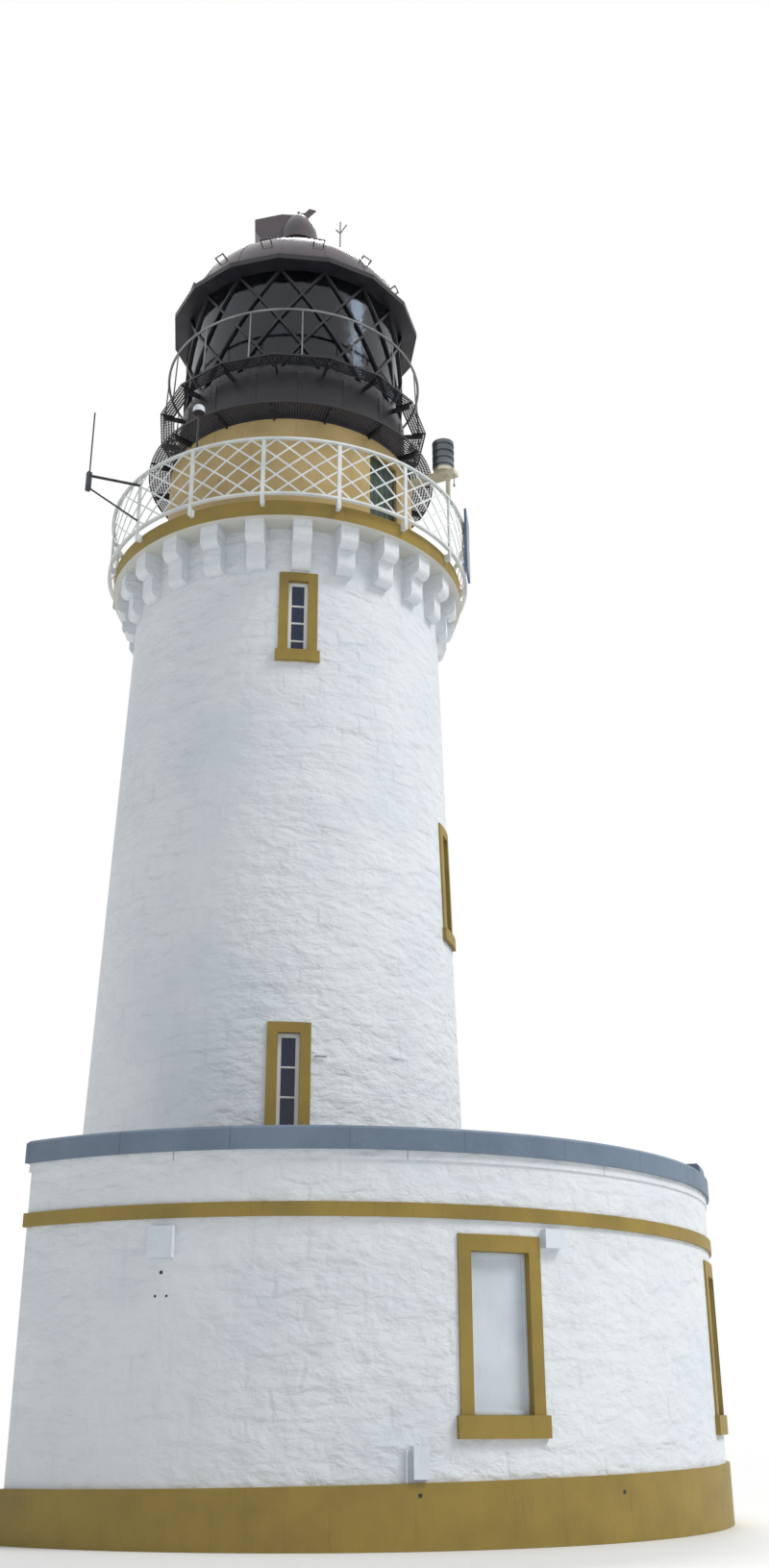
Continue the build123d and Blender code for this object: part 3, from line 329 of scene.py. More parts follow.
# Masonry paint, the same on all dressed stone but for its own colours
TRIM_GRAIN = paint(172, 146, 80)
TRIM_RUN = paint(104, 88, 58)
SOFFIT_WHITE = paint(206, 205, 196)
DECK_GREY = paint(126, 124, 118)


def trim_paint(name, colour, shade, white_under=False):
    """Masonry paint on dressed stone, a little chalky and weathered."""
    made = Finish(name, colour, roughness=0.6)
    clouds = made.noise(scale=1.6, detail=4.0)
    grain = made.noise(scale=45.0, detail=3.0)
    runs = made.noise(scale=4.0, detail=4.0, place=made.stretched(4.0, 4.0, 0.4))
    made.stain(shade, clouds, low=0.4, high=0.7, most=0.75)
    made.stain(TRIM_GRAIN, grain, low=0.6, high=0.75, most=0.3)
    made.stain(TRIM_RUN, runs, low=0.6, high=0.8, most=0.5)
    if white_under:
        made.tint(SOFFIT_WHITE, made.facing_share("Z", low=-0.5, high=-0.6))
        made.tint(DECK_GREY, made.facing_share("Z", low=0.5, high=0.6))
    made.rough(grain, low=0.3, high=0.7, least=0.5, most=0.72)
    made.bump(clouds, distance=0.012, strength=0.6)
    made.bump(grain, distance=0.003, strength=0.6)
    return made


def stone(name, colour, shade, light, roughness):
    """Weathered stone or concrete."""
    made = Finish(name, colour, roughness)
    clouds = made.noise(scale=1.2, detail=4.0)
    grain = made.noise(scale=28.0, detail=5.0)
    made.stain(shade, clouds, low=0.4, high=0.68, most=0.8)
    made.stain(light, grain, low=0.58, high=0.74, most=0.5)
    made.rough(grain, low=0.3, high=0.7, least=roughness - 0.12, most=roughness + 0.12)
    made.bump(clouds, distance=0.02, strength=0.5)
    made.bump(grain, distance=0.004, strength=0.7)
    return made


# Where rust blooms begin and are full, before their spread is taken off
BLOOM_START = 0.7
BLOOM_FULL = 0.78


def painted_metal(name, colour, shade, rust, roughness, spread, metallic):
    """Gloss paint over iron or steel, with orange-peel and a few rust blooms."""
    made = Finish(name, colour, roughness, metallic)
    clouds = made.noise(scale=2.4, detail=3.0)
    peel = made.noise(scale=60.0, detail=2.0)
    blooms = made.noise(scale=9.0, detail=5.0, roughness=0.7)
    made.stain(shade, clouds, low=0.38, high=0.68, most=0.8)
    made.stain(rust, blooms, BLOOM_START - spread, BLOOM_FULL - spread, most=0.85)
    made.rough(clouds, low=0.3, high=0.7, least=roughness - 0.08, most=roughness + 0.14)
    made.bump(peel, distance=0.0015, strength=0.5)
    made.bump(blooms, distance=0.003, strength=0.4)
    return made


def painted_wood(name, colour, shade, roughness):
    """Brushed paint on timber or board, with a faint upright grain."""
    made = Finish(name, colour, roughness)
    grain = made.noise(scale=9.0, detail=4.0, place=made.stretched(6.0, 6.0, 0.5))
    clouds = made.noise(scale=1.9, detail=3.0)
    made.stain(shade, clouds, low=0.4, high=0.7, most=0.7)
    made.stain(shade, grain, low=0.56, high=0.72, most=0.4)
    made.rough(grain, low=0.3, high=0.7, least=roughness - 0.1, most=roughness + 0.12)
    made.bump(grain, distance=0.003, strength=0.6)
    return made


GLASS_DUST = paint(96, 112, 128)
GLASS_IOR = 1.45


def pane(name, colour, roughness, see_through, dust_share=0.18):
    """Old window glass: a little wavy and dusty."""
    made = Finish(name, colour, roughness)
    waves = made.noise(scale=3.5, detail=2.0)
    dust = made.noise(scale=22.0, detail=4.0)
    made.stain(GLASS_DUST, dust, low=0.55, high=0.8, most=dust_share)
    made.rough(dust, low=0.4, high=0.75, least=roughness, most=roughness + 0.14)
    made.shader.inputs["IOR"].default_value = GLASS_IOR
    made.shader.inputs["Transmission Weight"].default_value = see_through
    made.bump(waves, distance=0.004, strength=0.35)
    return made


RUST = paint(122, 72, 40)
OLD_RUST = paint(84, 58, 48)
DOME_RUST = paint(112, 76, 64)
SCUFF = paint(96, 92, 88)
CREAM = paint(206, 200, 178)
OCHRE = paint(148, 126, 58)
OCHRE_SHADE = paint(124, 106, 52)
LAMP_DARK = paint(44, 46, 52)
BED_JOINT = paint(150, 156, 160)
COPING_JOINT = paint(74, 88, 104)
TOWER_MEAN_RADIUS = 2.7
TOWER_STONES = 28
ANNEX_STONES = 54
BED_STONES = 13
COPING_STONES = 26
COLOUR_EDGE = 0.004
DOME_COAT = 0.3
BED_JOINT_STRENGTH = 0.7
COPING_JOINT_STRENGTH = 0.35

white_tower = masonry("white_masonry_tower", 0.0, TOWER_MEAN_RADIUS, TOWER_STONES)
white_annex = masonry("white_masonry_annex", ANNEX_Y, ANNEX_RADIUS, ANNEX_STONES)
white_rear = masonry("white_masonry_rear", ANNEX_Y, ANNEX_RADIUS, ANNEX_STONES, flat=True)

# Name, colour, shade and light of the stones, and their roughness
STONES = (
    ("coping_stone", paint(108, 124, 142), paint(90, 106, 124), paint(132, 146, 158), 0.55),
    ("concrete", paint(150, 148, 142), paint(122, 121, 116), paint(172, 170, 164), 0.85),
    ("roof_deck", paint(112, 114, 114), paint(88, 90, 90), paint(136, 137, 134), 0.9),
)
# Name, colour, shade and rust of the metals, their roughness, spread of rust and metallic share
METALS = (
    ("black_iron", paint(30, 31, 38), paint(44, 40, 46), OLD_RUST, 0.4, 0.05, 0.0),
    ("white_rail", paint(226, 230, 230), paint(200, 206, 208), RUST, 0.35, 0.0, 0.0),
    ("grey_metal", paint(138, 142, 142), paint(112, 116, 118), RUST, 0.42, 0.02, 0.5),
    ("dome_metal", paint(66, 60, 68), paint(84, 72, 76), DOME_RUST, 0.32, 0.05, 0.0),
    ("cream_metal", CREAM, paint(184, 178, 156), RUST, 0.45, 0.03, 0.0),
    ("panel_face", paint(84, 112, 138), paint(70, 94, 118), RUST, 0.3, 0.0, 0.0),
    ("beacon_metal", paint(72, 76, 82), paint(56, 60, 66), SCUFF, 0.32, 0.02, 0.6),
)
# Name, colour and shade of the woods and boards, and their roughness
WOODS = (
    ("white_panel", paint(206, 214, 222), paint(188, 198, 208), 0.5),
    ("white_frame", paint(232, 234, 234), paint(212, 216, 218), 0.38),
    ("door_paint", paint(58, 74, 66), paint(46, 60, 54), 0.4),
    ("box_plastic", paint(214, 222, 230), paint(200, 208, 216), 0.45),
)
finishes = {
    "white_masonry": white_tower,
    "buff_trim": trim_paint("buff_trim", OCHRE, OCHRE_SHADE),
    # The window glass and the lens glass let no light through and are painted dark: painted shade
    # of the unlit rooms behind the windows and of the dark inside of the optic
    "window_glass": pane("window_glass", paint(20, 34, 68), roughness=0.06, see_through=0.0),
    "lens_glass": pane("lens_glass", paint(34, 40, 50), roughness=0.05, see_through=0.0),
}
for maker, table in ((stone, STONES), (painted_metal, METALS), (painted_wood, WOODS)):
    for entry in table:
        finishes[entry[0]] = maker(*entry)
finishes["dome_metal"].shader.inputs["Coat Weight"].default_value = DOME_COAT
jointed(white_annex, BED_STONES, BED_LEVEL, COPING_LEVEL, BED_JOINT, BED_JOINT_STRENGTH)
jointed(
    finishes["coping_stone"], COPING_STONES, COPING_LEVEL, COPING_TOP, COPING_JOINT,
    COPING_JOINT_STRENGTH,
)

# Finishes of single pieces that differ from the rest of their slot
lantern_pane = pane(
    "lantern_pane", paint(96, 116, 140), roughness=0.04, see_through=1.0, dust_share=0.1
)
fascia = trim_paint("buff_fascia", OCHRE, OCHRE_SHADE, white_under=True)
lantern_paint = trim_paint("buff_lantern_wall", paint(190, 166, 116), paint(170, 146, 98))
lamp_paint = painted_wood("lamp_paint", paint(222, 226, 230), paint(206, 212, 218), 0.4)
beacon_paint = painted_metal(
    "beacon_paint", paint(116, 122, 128), paint(84, 90, 96), SCUFF,
    roughness=0.28, spread=0.02, metallic=0.6,
)
dark_steel = painted_metal(
    "dark_steel", paint(64, 68, 74), paint(50, 54, 60), RUST,
    roughness=0.45, spread=0.04, metallic=0.4,
)


def coloured_below(made, colour, level):
    """Another colour below a level."""
    made.tint(colour, made.ramp(made.axes()["Z"], level, level + COLOUR_EDGE, 1.0, 0.0))


coloured_below(lamp_paint, LAMP_DARK, LAMP_CAP_FOOT)
coloured_below(beacon_paint, CREAM, BEACON_BASE_TOP)
own_finish = {
    "side_aerial": dark_steel,
    "annex_rear_walls": white_rear,
    "lantern_glass": lantern_pane,
    "gallery_slab": fascia,
    "lantern_wall": lantern_paint,
    "signal_lamp": lamp_paint,
    "beacon": beacon_paint,
    "parapet": white_annex,
}
slots = {part["node"]: part["material_slot"] for part in frame["record"]["subparts"]}


def wear(piece, finish):
    piece.data.materials.clear()
    piece.data.materials.append(finish.material)


for name, piece in nodes.items():
    if name.startswith("annex_wall"):
        wear(piece, white_annex)
    else:
        wear(piece, own_finish.get(name) or finishes[slots[name]])


# Detail pieces
def spot(bearing, radius, level, centre_y=0.0):
    """The point at a bearing, radius and level about the tower's axis or the annex's."""
    angle = radians(bearing - 90)
    return Vector((radius * cos(angle), centre_y + radius * sin(angle), level))


def facing(bearing, radius, level, centre_y=0.0):
    """A frame at a spot: local X to the right seen from outside, Y up, Z outwards."""
    angle = radians(bearing - 90)
    out = Vector((cos(angle), sin(angle), 0))
    across = Vector((-sin(angle), cos(angle), 0))
    turn = Matrix((across, (0, 0, 1), out)).transposed().to_4x4()
    return Matrix.Translation(spot(bearing, radius, level, centre_y)) @ turn


def rear_opening(side, recess):
    """A frame on an opening in the annex's rear wall, on one side of the tower."""
    place = Matrix.Translation((side * REAR_OPENING_X, ANNEX_Y - recess, 0))
    return place @ facing(REAR, 0, 0)


ROD_SIDES = 12
BALL_SIDES = 12
BALL_RINGS = 8
SHARP_ANGLE = 35
TURN_STEPS = 96


class Shape:
    """Collects solids into one mesh piece."""

    def __init__(self):
        self.verts = []
        self.faces = []

    def add(self, verts, faces):
        first = len(self.verts)
        self.verts.extend(tuple(vert) for vert in verts)
        self.faces.extend([first + index for index in face] for face in faces)

    def take(self, made):
        """Adds a small mesh, which is then done with."""
        made.verts.index_update()
        faces = [[vert.index for vert in face.verts] for face in made.faces]
        self.add([vert.co for vert in made.verts], faces)
        made.free()

    def box(self, place, centre, size, round_off=0.0):
        made = bmesh.new()
        sized = place @ Matrix.Translation(centre) @ Matrix.Diagonal((*size, 1))
        bmesh.ops.create_cube(made, size=1.0, matrix=sized)
        if round_off:
            edges = made.edges[:]
            bmesh.ops.bevel(
                made, geom=edges, offset=round_off, segments=2, affect="EDGES", profile=0.5
            )
        self.take(made)

    def rod(self, place, start, end, radius, sides=ROD_SIDES):
        """A round rod between two points of a frame."""
        near = place @ Vector(start)
        far = place @ Vector(end)
        run = far - near
        turn = run.to_track_quat("Z", "Y").to_matrix().to_4x4()
        made = bmesh.new()
        bmesh.ops.create_cone(
            made,
            cap_ends=True,
            segments=sides,
            radius1=radius,
            radius2=radius,
            depth=run.length,
            matrix=Matrix.Translation((near + far) / 2) @ turn,
        )
        self.take(made)

    def ball(self, centre, radius):
        made = bmesh.new()
        bmesh.ops.create_uvsphere(
            made,
            u_segments=BALL_SIDES,
            v_segments=BALL_RINGS,
            radius=radius,
            matrix=Matrix.Translation(centre),
        )
        self.take(made)

    def swept(self, rings, closed=False):
        """A skin over rings of as many points each, with its ends closed unless it joins up."""
        count = len(rings[0])
        faces = []
        for step in range(len(rings) if closed else len(rings) - 1):
            here = step * count
            after = (step + 1) % len(rings) * count
            for a in range(count):
                b = (a + 1) % count
                faces.append((here + a, after + a, after + b, here + b))
        if not closed:
            faces.append(list(range(count)))
            faces.append(list(range(len(rings) * count - 1, (len(rings) - 1) * count - 1, -1)))
        self.add([point for ring in rings for point in ring], faces)

    def turned(self, profile, steps=TURN_STEPS, bearing=0.0):
        """A closed profile of radius and level, turned about the tower's axis."""
        rings = []
        for step in range(steps):
            rings.append([spot(bearing + 360 * step / steps, r, z) for r, z in profile])
        self.swept(rings, closed=True)

    def finish(self, name, slot, smooth=True, finish=None):
        """Makes the piece, which rides on the building."""
        data = bpy.data.meshes.new(name)
        data.from_pydata(self.verts, [], self.faces)
        made = bmesh.new()
        made.from_mesh(data)
        bmesh.ops.recalc_face_normals(made, faces=made.faces)
        made.to_mesh(data)
        made.free()
        piece = bpy.data.objects.new(name, data)
        bpy.context.scene.collection.objects.link(piece)
        if smooth:
            data.shade_smooth()
            data.set_sharp_from_angle(angle=radians(SHARP_ANGLE))
        wear(piece, finish or finishes[slot])
        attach(piece, "building")


def tower_radius(level):
    return max(TOWER_NECK, TOWER_FOOT - (TOWER_FOOT - TOWER_NECK) * level / NECK_LEVEL)


# Glazing bars of the tower windows: bearing, opening's foot and height, and the bars' levels
TOWER_WINDOWS = (
    (WINDOW_COLUMN, 4.27, 1.685, (4.71, 5.108, 5.504)),
    (WINDOW_COLUMN, 11.79, 1.21, (12.003, 12.307, 12.6)),
    (SIDE_WINDOW, 7.96, 1.55, (8.35, 8.735, 9.12)),
    (REAR, 6.3, 1.21, (6.513, 6.817, 7.11)),
    (REAR, 9.9, 1.21, (10.113, 10.417, 10.71)),
)
FRAME_WIDTH = 0.054
OPENING_WIDTH = 0.3
WINDOW_RECESS = 0.06
BAR_WIDTH = 0.026
BAR_DEPTH = 0.034
BAR_SETBACK = 0.02
BAR_LAP = 0.004
BAR_ROUND = 0.004
bars = Shape()
bar_length = OPENING_WIDTH - 2 * FRAME_WIDTH + BAR_LAP
for bearing, foot, height, levels in TOWER_WINDOWS:
    place = facing(bearing, tower_radius(foot + height) - WINDOW_RECESS, 0)
    for level in levels:
        bars.box(place, (0, level, -BAR_SETBACK), (bar_length, BAR_WIDTH, BAR_DEPTH), BAR_ROUND)
bars.finish("tower_window_bars", "white_frame")

# Perforated walkway decks with their rims and brackets. A cell is a square with a hole: its
# corners are c0 to c3, its hole's h0 to h5, and the plate between them is ten triangles.
CELL_CORNERS = ((0, 0), (1, 0), (1, 1), (0, 1))
CELL_TRIANGLES = (
    ("c3", "c0", "h3"),
    ("c0", "h4", "h3"),
    ("c0", "h5", "h4"),
    ("c0", "c1", "h5"),
    ("c1", "h0", "h5"),
    ("c1", "c2", "h0"),
    ("c2", "h1", "h0"),
    ("c2", "h2", "h1"),
    ("c2", "c3", "h2"),
    ("c3", "h3", "h2"),
)
HOLE_SIDES = 6
HOLE_SHARE = 0.36
DECK_PLATE = 0.006
CELLS_ROUND = 320
UPPER_CELL_ROWS = 5
LOWER_CELL_ROWS = 10
RIM = 0.008
BRACKET_WIDTH = 0.03
BRACKET_DEPTH = 0.09
BRACKET_SETBACK = 0.06
BRACKET_ROUND = 0.003
CAP_HEIGHT = 0.03
CAP_RISE = 0.013


def perforated_deck(name, node, inner, outer, rows, top, sided):
    """A ring of plate with rows of holes cut through it, round or many-sided."""

    def place(turn, reach, level):
        bearing = BAY_BEARING + 360 * turn / CELLS_ROUND
        radius = inner + RIM + (outer - inner - 2 * RIM) * reach / rows
        if sided:
            off = (bearing - BAY_BEARING) % BAY_ANGLE - BAY_ANGLE / 2
            radius *= cos(radians(BAY_ANGLE / 2)) / cos(radians(off))
        return tuple(spot(bearing, radius, level))

    levels = (top, top - DECK_PLATE)
    verts = []
    corner = {}
    for side, level in enumerate(levels):
        for i in range(CELLS_ROUND):
            for j in range(rows + 1):
                corner[side, i, j] = len(verts)
                verts.append(place(i, j, level))
    faces = []
    for i in range(CELLS_ROUND):
        for j in range(rows):
            hole = []
            for level in levels:
                hole.append(len(verts))
                for k in range(HOLE_SIDES):
                    angle = tau * k / HOLE_SIDES
                    turn = i + 0.5 + HOLE_SHARE * cos(angle)
                    verts.append(place(turn, j + 0.5 + HOLE_SHARE * sin(angle), level))
            for side in (0, 1):
                index = {}
                for c, (di, dj) in enumerate(CELL_CORNERS):
                    index[f"c{c}"] = corner[side, (i + di) % CELLS_ROUND, j + dj]
                for k in range(HOLE_SIDES):
                    index[f"h{k}"] = hole[side] + k
                for names in CELL_TRIANGLES:
                    face = [index[n] for n in names]
                    faces.append(face if side else face[::-1])
            for k in range(HOLE_SIDES):
                after = (k + 1) % HOLE_SIDES
                faces.append((hole[0] + k, hole[0] + after, hole[1] + after, hole[1] + k))
        after = (i + 1) % CELLS_ROUND
        for j in (0, rows):
            wall = (corner[0, i, j], corner[0, after, j], corner[1, after, j], corner[1, i, j])
            faces.append(wall if j else wall[::-1])
    data = bpy.data.meshes.new(name)
    data.from_pydata(verts, [], faces)
    piece = bpy.data.objects.new(name, data)
    bpy.context.scene.collection.objects.link(piece)
    wear(piece, finishes["black_iron"])
    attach(piece, "building")
    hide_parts(node)


def walkway_frame(name, inner, outer, wall, top, sided):
    """The rims of a deck and the brackets under it."""
    rims = Shape()
    foot = top - WALKWAY_THICKNESS
    steps = BAYS if sided else TURN_STEPS
    for radius in (inner, outer - RIM):
        profile = ((radius, foot), (radius + RIM, foot), (radius + RIM, top), (radius, top))
        rims.turned(profile, steps, BAY_BEARING)
    reach = outer - BRACKET_SETBACK
    for bay in range(BAYS):
        bearing = BAY_BEARING + bay * BAY_ANGLE
        bracket = facing(bearing, (wall + reach) / 2, foot - BRACKET_DEPTH / 2)
        size = (BRACKET_WIDTH, BRACKET_DEPTH, reach - wall)
        rims.box(bracket, (0, 0, 0), size, BRACKET_ROUND)
        cap = facing(bearing, (inner + outer) / 2, foot + CAP_RISE)
        rims.box(cap, (0, 0, 0), (BRACKET_WIDTH, CAP_HEIGHT, outer - inner - RIM))
    rims.finish(name, "black_iron")


upper_span = (UPPER_WALKWAY_INNER, UPPER_WALKWAY)
lower_span = (LOWER_WALKWAY_INNER, LOWER_WALKWAY)
perforated_deck(
    "upper_walkway_deck", "upper_walkway", *upper_span, UPPER_CELL_ROWS, UPPER_WALKWAY_LEVEL, True
)
walkway_frame("upper_walkway_frame", *upper_span, DRUM_RADIUS, UPPER_WALKWAY_LEVEL, True)
perforated_deck(
    "lower_walkway_deck", "lower_walkway", *lower_span, LOWER_CELL_ROWS, LOWER_WALKWAY_LEVEL, False
)
walkway_frame("lower_walkway_frame", *lower_span, LANTERN_WALL_RADIUS, LOWER_WALKWAY_LEVEL, False)

# Rings of prisms on the lens, whose outline is an arc that swells to its belly
PRISMS = 26
PRISM_DEPTH = 0.02
PRISM_GAP = 0.002
PRISM_SEAT = 0.004
PRISM_STEPS = 64
prisms = Shape()
belly_rise = OPTIC_HEIGHT / 2
belly_gain = OPTIC_BELLY - OPTIC_RADIUS
belly_arc = (belly_rise**2 + belly_gain**2) / (2 * belly_gain)
pitch = OPTIC_HEIGHT / PRISMS
for ring in range(PRISMS):
    low = OPTIC_FOOT + ring * pitch
    levels = (low + PRISM_GAP, low + pitch - PRISM_GAP, low + pitch / 2)
    radii = []
    for level in levels:
        off = level - OPTIC_FOOT - belly_rise
        radii.append(sqrt(belly_arc**2 - off**2) - belly_arc + OPTIC_BELLY)
    profile = (
        (radii[0] - PRISM_SEAT, levels[0]),
        (radii[2] + PRISM_DEPTH, levels[2]),
        (radii[1] - PRISM_SEAT, levels[1]),
    )
    prisms.turned(profile, PRISM_STEPS)
prisms.finish("optic_prisms", "lens_glass", smooth=False)

# Rivets along the seams and flanges of the iron drum, and a cover strip on each seam
FLANGE_BOLT = 0.012
FLANGE_BOLTS_PER_BAY = 4
FLANGE_BOLT_RISE = 0.022
RIVET = 0.0096
RIVET_ROWS = 10
RIVET_START = 0.12
RIVET_PITCH = 0.095
RIVET_ASIDE = 0.028
RIVET_SETOUT = 0.006
STRIP_WIDTH = 0.09
STRIP_SHORTER = 0.12
STRIP_DEPTH = 0.008
STRIP_RISE = 0.02
STRIP_SETOUT = 0.002
STRIP_ROUND = 0.002
rivets = Shape()
strip_size = (STRIP_WIDTH, DRUM_TOP - DRUM_FOOT - STRIP_SHORTER, STRIP_DEPTH)
for bay in range(BAYS):
    bearing = BAY_BEARING + (bay + 0.5) * BAY_ANGLE
    strip = facing(bearing, DRUM_RADIUS, (DRUM_FOOT + DRUM_TOP) / 2 + STRIP_RISE)
    rivets.box(strip, (0, 0, STRIP_SETOUT), strip_size, STRIP_ROUND)
    for row in range(RIVET_ROWS):
        level = DRUM_FOOT + RIVET_START + row * RIVET_PITCH
        for across in (-RIVET_ASIDE, RIVET_ASIDE):
            turn = bearing + degrees(across / DRUM_RADIUS)
            rivets.ball(spot(turn, DRUM_RADIUS + RIVET_SETOUT, level), RIVET)
for bolt in range(FLANGE_BOLTS_PER_BAY * BAYS):
    bearing = BAY_BEARING + (bolt + 0.5) * BAY_ANGLE / FLANGE_BOLTS_PER_BAY
    rivets.ball(spot(bearing, DRUM_RADIUS, DRUM_TOP + FLANGE_BOLT_RISE), FLANGE_BOLT)
rivets.finish("drum_rivets", "black_iron")

# Standing seams on the dome, from just above its foot to below the ventilator
SEAM_STEPS = 14
SEAM_START = 2
SEAM_SWEEP = 77
SEAM_HALF = 0.009
SEAM_RISE = 0.008
SEAM_ROOT = -0.004
seams = Shape()
for bay in range(BAYS):
    bearing = BAY_BEARING + bay * BAY_ANGLE
    aside = spot(bearing + 90, SEAM_HALF, 0)
    rings = []
    for step in range(SEAM_STEPS + 1):
        turn = radians(SEAM_START + SEAM_SWEEP * step / SEAM_STEPS)
        inner, outer = (
            spot(
                bearing,
                (DOME_RADIUS + lift) * cos(turn),
                DOME_BASE + (DOME_RISE + lift) * sin(turn),
            )
            for lift in (SEAM_ROOT, SEAM_RISE)
        )
        rings.append((inner - aside, inner + aside, outer + aside, outer - aside))
    seams.swept(rings)
seams.finish("dome_seams", "dome_metal")

# Boards, straps and handles on the doors: frame, width, foot, height and number of boards
DOOR_FOOT = 0.3
DOOR_RECESS = 0.2
ENTRANCE_HEAD = 2.45
GALLERY_DOOR_FACE = 2.03
DOORS = (
    (facing(REAR, tower_radius(ENTRANCE_HEAD) - DOOR_RECESS, 0), 0.95, DOOR_FOOT, 2.15, 7),
    (rear_opening(1, DOOR_RECESS), 0.85, DOOR_FOOT, 2.05, 6),
    (facing(GALLERY_DOOR_BEARING, GALLERY_DOOR_FACE, 0), 0.7, 14.28, 1.75, 5),
)
BOARD_GAP = 0.008
BOARD_SHORTER = 0.02
BOARD_DEPTH = 0.014
BOARD_SETOUT = 0.006
BOARD_ROUND = 0.003
STRAP_SHARES = (0.18, 0.82)
STRAP_LENGTH = 0.72
STRAP_ASIDE = -0.12
STRAP_WIDTH = 0.05
STRAP_THICKNESS = 0.008
STRAP_SETOUT = 0.016
STRAP_ROUND = 0.002
PIN_RADIUS = 0.011
PIN_HALF = 0.05
PIN_EDGE = 0.012
PIN_SETOUT = 0.022
HANDLE_SHARE = 0.47
HANDLE_ASIDE = 0.38
HANDLE_PLATE = (0.045, 0.17, 0.006)
HANDLE_PLATE_SETOUT = 0.015
HANDLE_ROUND = 0.002
LEVER_RISE = 0.02
LEVER_RADIUS = 0.009
LEVER_ROOT = 0.012
LEVER_TIP = 0.055
LEVER_SETOUT = 0.05
LEVER_PAST = 0.005
LEVER_LENGTH = 0.1
boards = Shape()
straps = Shape()
for place, width, foot, height, count in DOORS:
    board = width / count
    board_size = (board - BOARD_GAP, height - BOARD_SHORTER, BOARD_DEPTH)
    for index in range(count):
        across = (index + 0.5) * board - width / 2
        boards.box(place, (across, foot + height / 2, BOARD_SETOUT), board_size, BOARD_ROUND)
    pin = PIN_EDGE - width / 2
    strap_size = (width * STRAP_LENGTH, STRAP_WIDTH, STRAP_THICKNESS)
    for share in STRAP_SHARES:
        level = foot + share * height
        straps.box(place, (width * STRAP_ASIDE, level, STRAP_SETOUT), strap_size, STRAP_ROUND)
        pin_foot = (pin, level - PIN_HALF, PIN_SETOUT)
        straps.rod(place, pin_foot, (pin, level + PIN_HALF, PIN_SETOUT), PIN_RADIUS)
    across = width * HANDLE_ASIDE
    handle = foot + HANDLE_SHARE * height
    straps.box(place, (across, handle, HANDLE_PLATE_SETOUT), HANDLE_PLATE, HANDLE_ROUND)
    lever = handle + LEVER_RISE
    straps.rod(place, (across, lever, LEVER_ROOT), (across, lever, LEVER_TIP), LEVER_RADIUS)
    lever_start = (across + LEVER_PAST, lever, LEVER_SETOUT)
    lever_end = (across - LEVER_LENGTH, lever, LEVER_SETOUT)
    straps.rod(place, lever_start, lever_end, LEVER_RADIUS)
boards.finish("door_boards", "door_paint")
straps.finish("door_straps", "black_iron")

# Battens round the white panels of the annex windows
PANEL_RECESS = 0.105
PANEL_MIDDLE = 2.0685
BATTEN_WIDTH = 0.046
BATTEN_DEPTH = 0.022
BATTEN_SETOUT = 0.01
BATTEN_ROUND = 0.003
STILE_ASIDE = 0.332
STILE_LENGTH = 1.64
CROSS_RISE = 0.797
CROSS_LENGTH = 0.62
battens = Shape()
panels = [
    facing(bearing, ANNEX_RADIUS - PANEL_RECESS, 0, ANNEX_Y) for bearing in ANNEX_WINDOWS
]
panels.append(rear_opening(-1, PANEL_RECESS))
stile_size = (BATTEN_WIDTH, STILE_LENGTH, BATTEN_DEPTH)
cross_size = (CROSS_LENGTH, BATTEN_WIDTH, BATTEN_DEPTH)
for place in panels:
    for side in (-1, 1):
        stile = (side * STILE_ASIDE, PANEL_MIDDLE, BATTEN_SETOUT)
        battens.box(place, stile, stile_size, BATTEN_ROUND)
        cross = (0, PANEL_MIDDLE + side * CROSS_RISE, BATTEN_SETOUT)
        battens.box(place, cross, cross_size, BATTEN_ROUND)
battens.finish("annex_window_battens", "white_panel")

# Bolts on the gallery posts
BOLT_LEVELS = (14.105, 14.15)
BOLT_RADIUS = 0.011
BOLT_HEIGHT = 0.012
BOLT_SIDES = 6
POST_FACE = RAILING_RADIUS + 0.013
bolts = Shape()
for bay in range(BAYS):
    bearing = BAY_BEARING + bay * BAY_ANGLE
    for level in BOLT_LEVELS:
        place = facing(bearing, POST_FACE, level)
        bolts.rod(place, (0, 0, 0), (0, 0, BOLT_HEIGHT), BOLT_RADIUS, BOLT_SIDES)
bolts.finish("post_bolts", "white_rail")

# A bent peg on the tower, right of the low window, and a rod that hangs from the beacon's arm
PEG_LEVEL = 5.65
PEG_ASIDE = 0.36
PEG_ARC_RADIUS = 2.76
PEG_RADIUS = 0.009
PEG_ROOT = -0.02
PEG_TIP = 0.035
PEG_BEND = 0.03
PEG_BACK = -0.008
PEG_LENGTH = 0.15
HANGER_RADIUS = 0.008
HANGER_LAP = 0.01
HANGER_DROP = 0.2
WEIGHT_DROP = 0.21
WEIGHT_SIZE = (0.03, 0.04, 0.03)
WEIGHT_ROUND = 0.004
small = Shape()
peg_bearing = WINDOW_COLUMN + degrees(PEG_ASIDE / PEG_ARC_RADIUS)
peg = facing(peg_bearing, tower_radius(PEG_LEVEL), PEG_LEVEL)
small.rod(peg, (0, 0, PEG_ROOT), (0, 0, PEG_TIP), PEG_RADIUS)
small.rod(peg, (PEG_BACK, 0, PEG_BEND), (PEG_LENGTH, 0, PEG_BEND), PEG_RADIUS)
hanger = Matrix.Translation(spot(BAY_BEARING, BEACON_ARM_REACH, BEACON_ARM_FOOT))
small.rod(hanger, (0, 0, HANGER_LAP), (0, 0, -HANGER_DROP), HANGER_RADIUS)
weight = facing(BAY_BEARING, BEACON_ARM_REACH, BEACON_ARM_FOOT - WEIGHT_DROP)
small.box(weight, (0, 0, 0), WEIGHT_SIZE, WEIGHT_ROUND)
small.finish("small_fittings", "grey_metal")

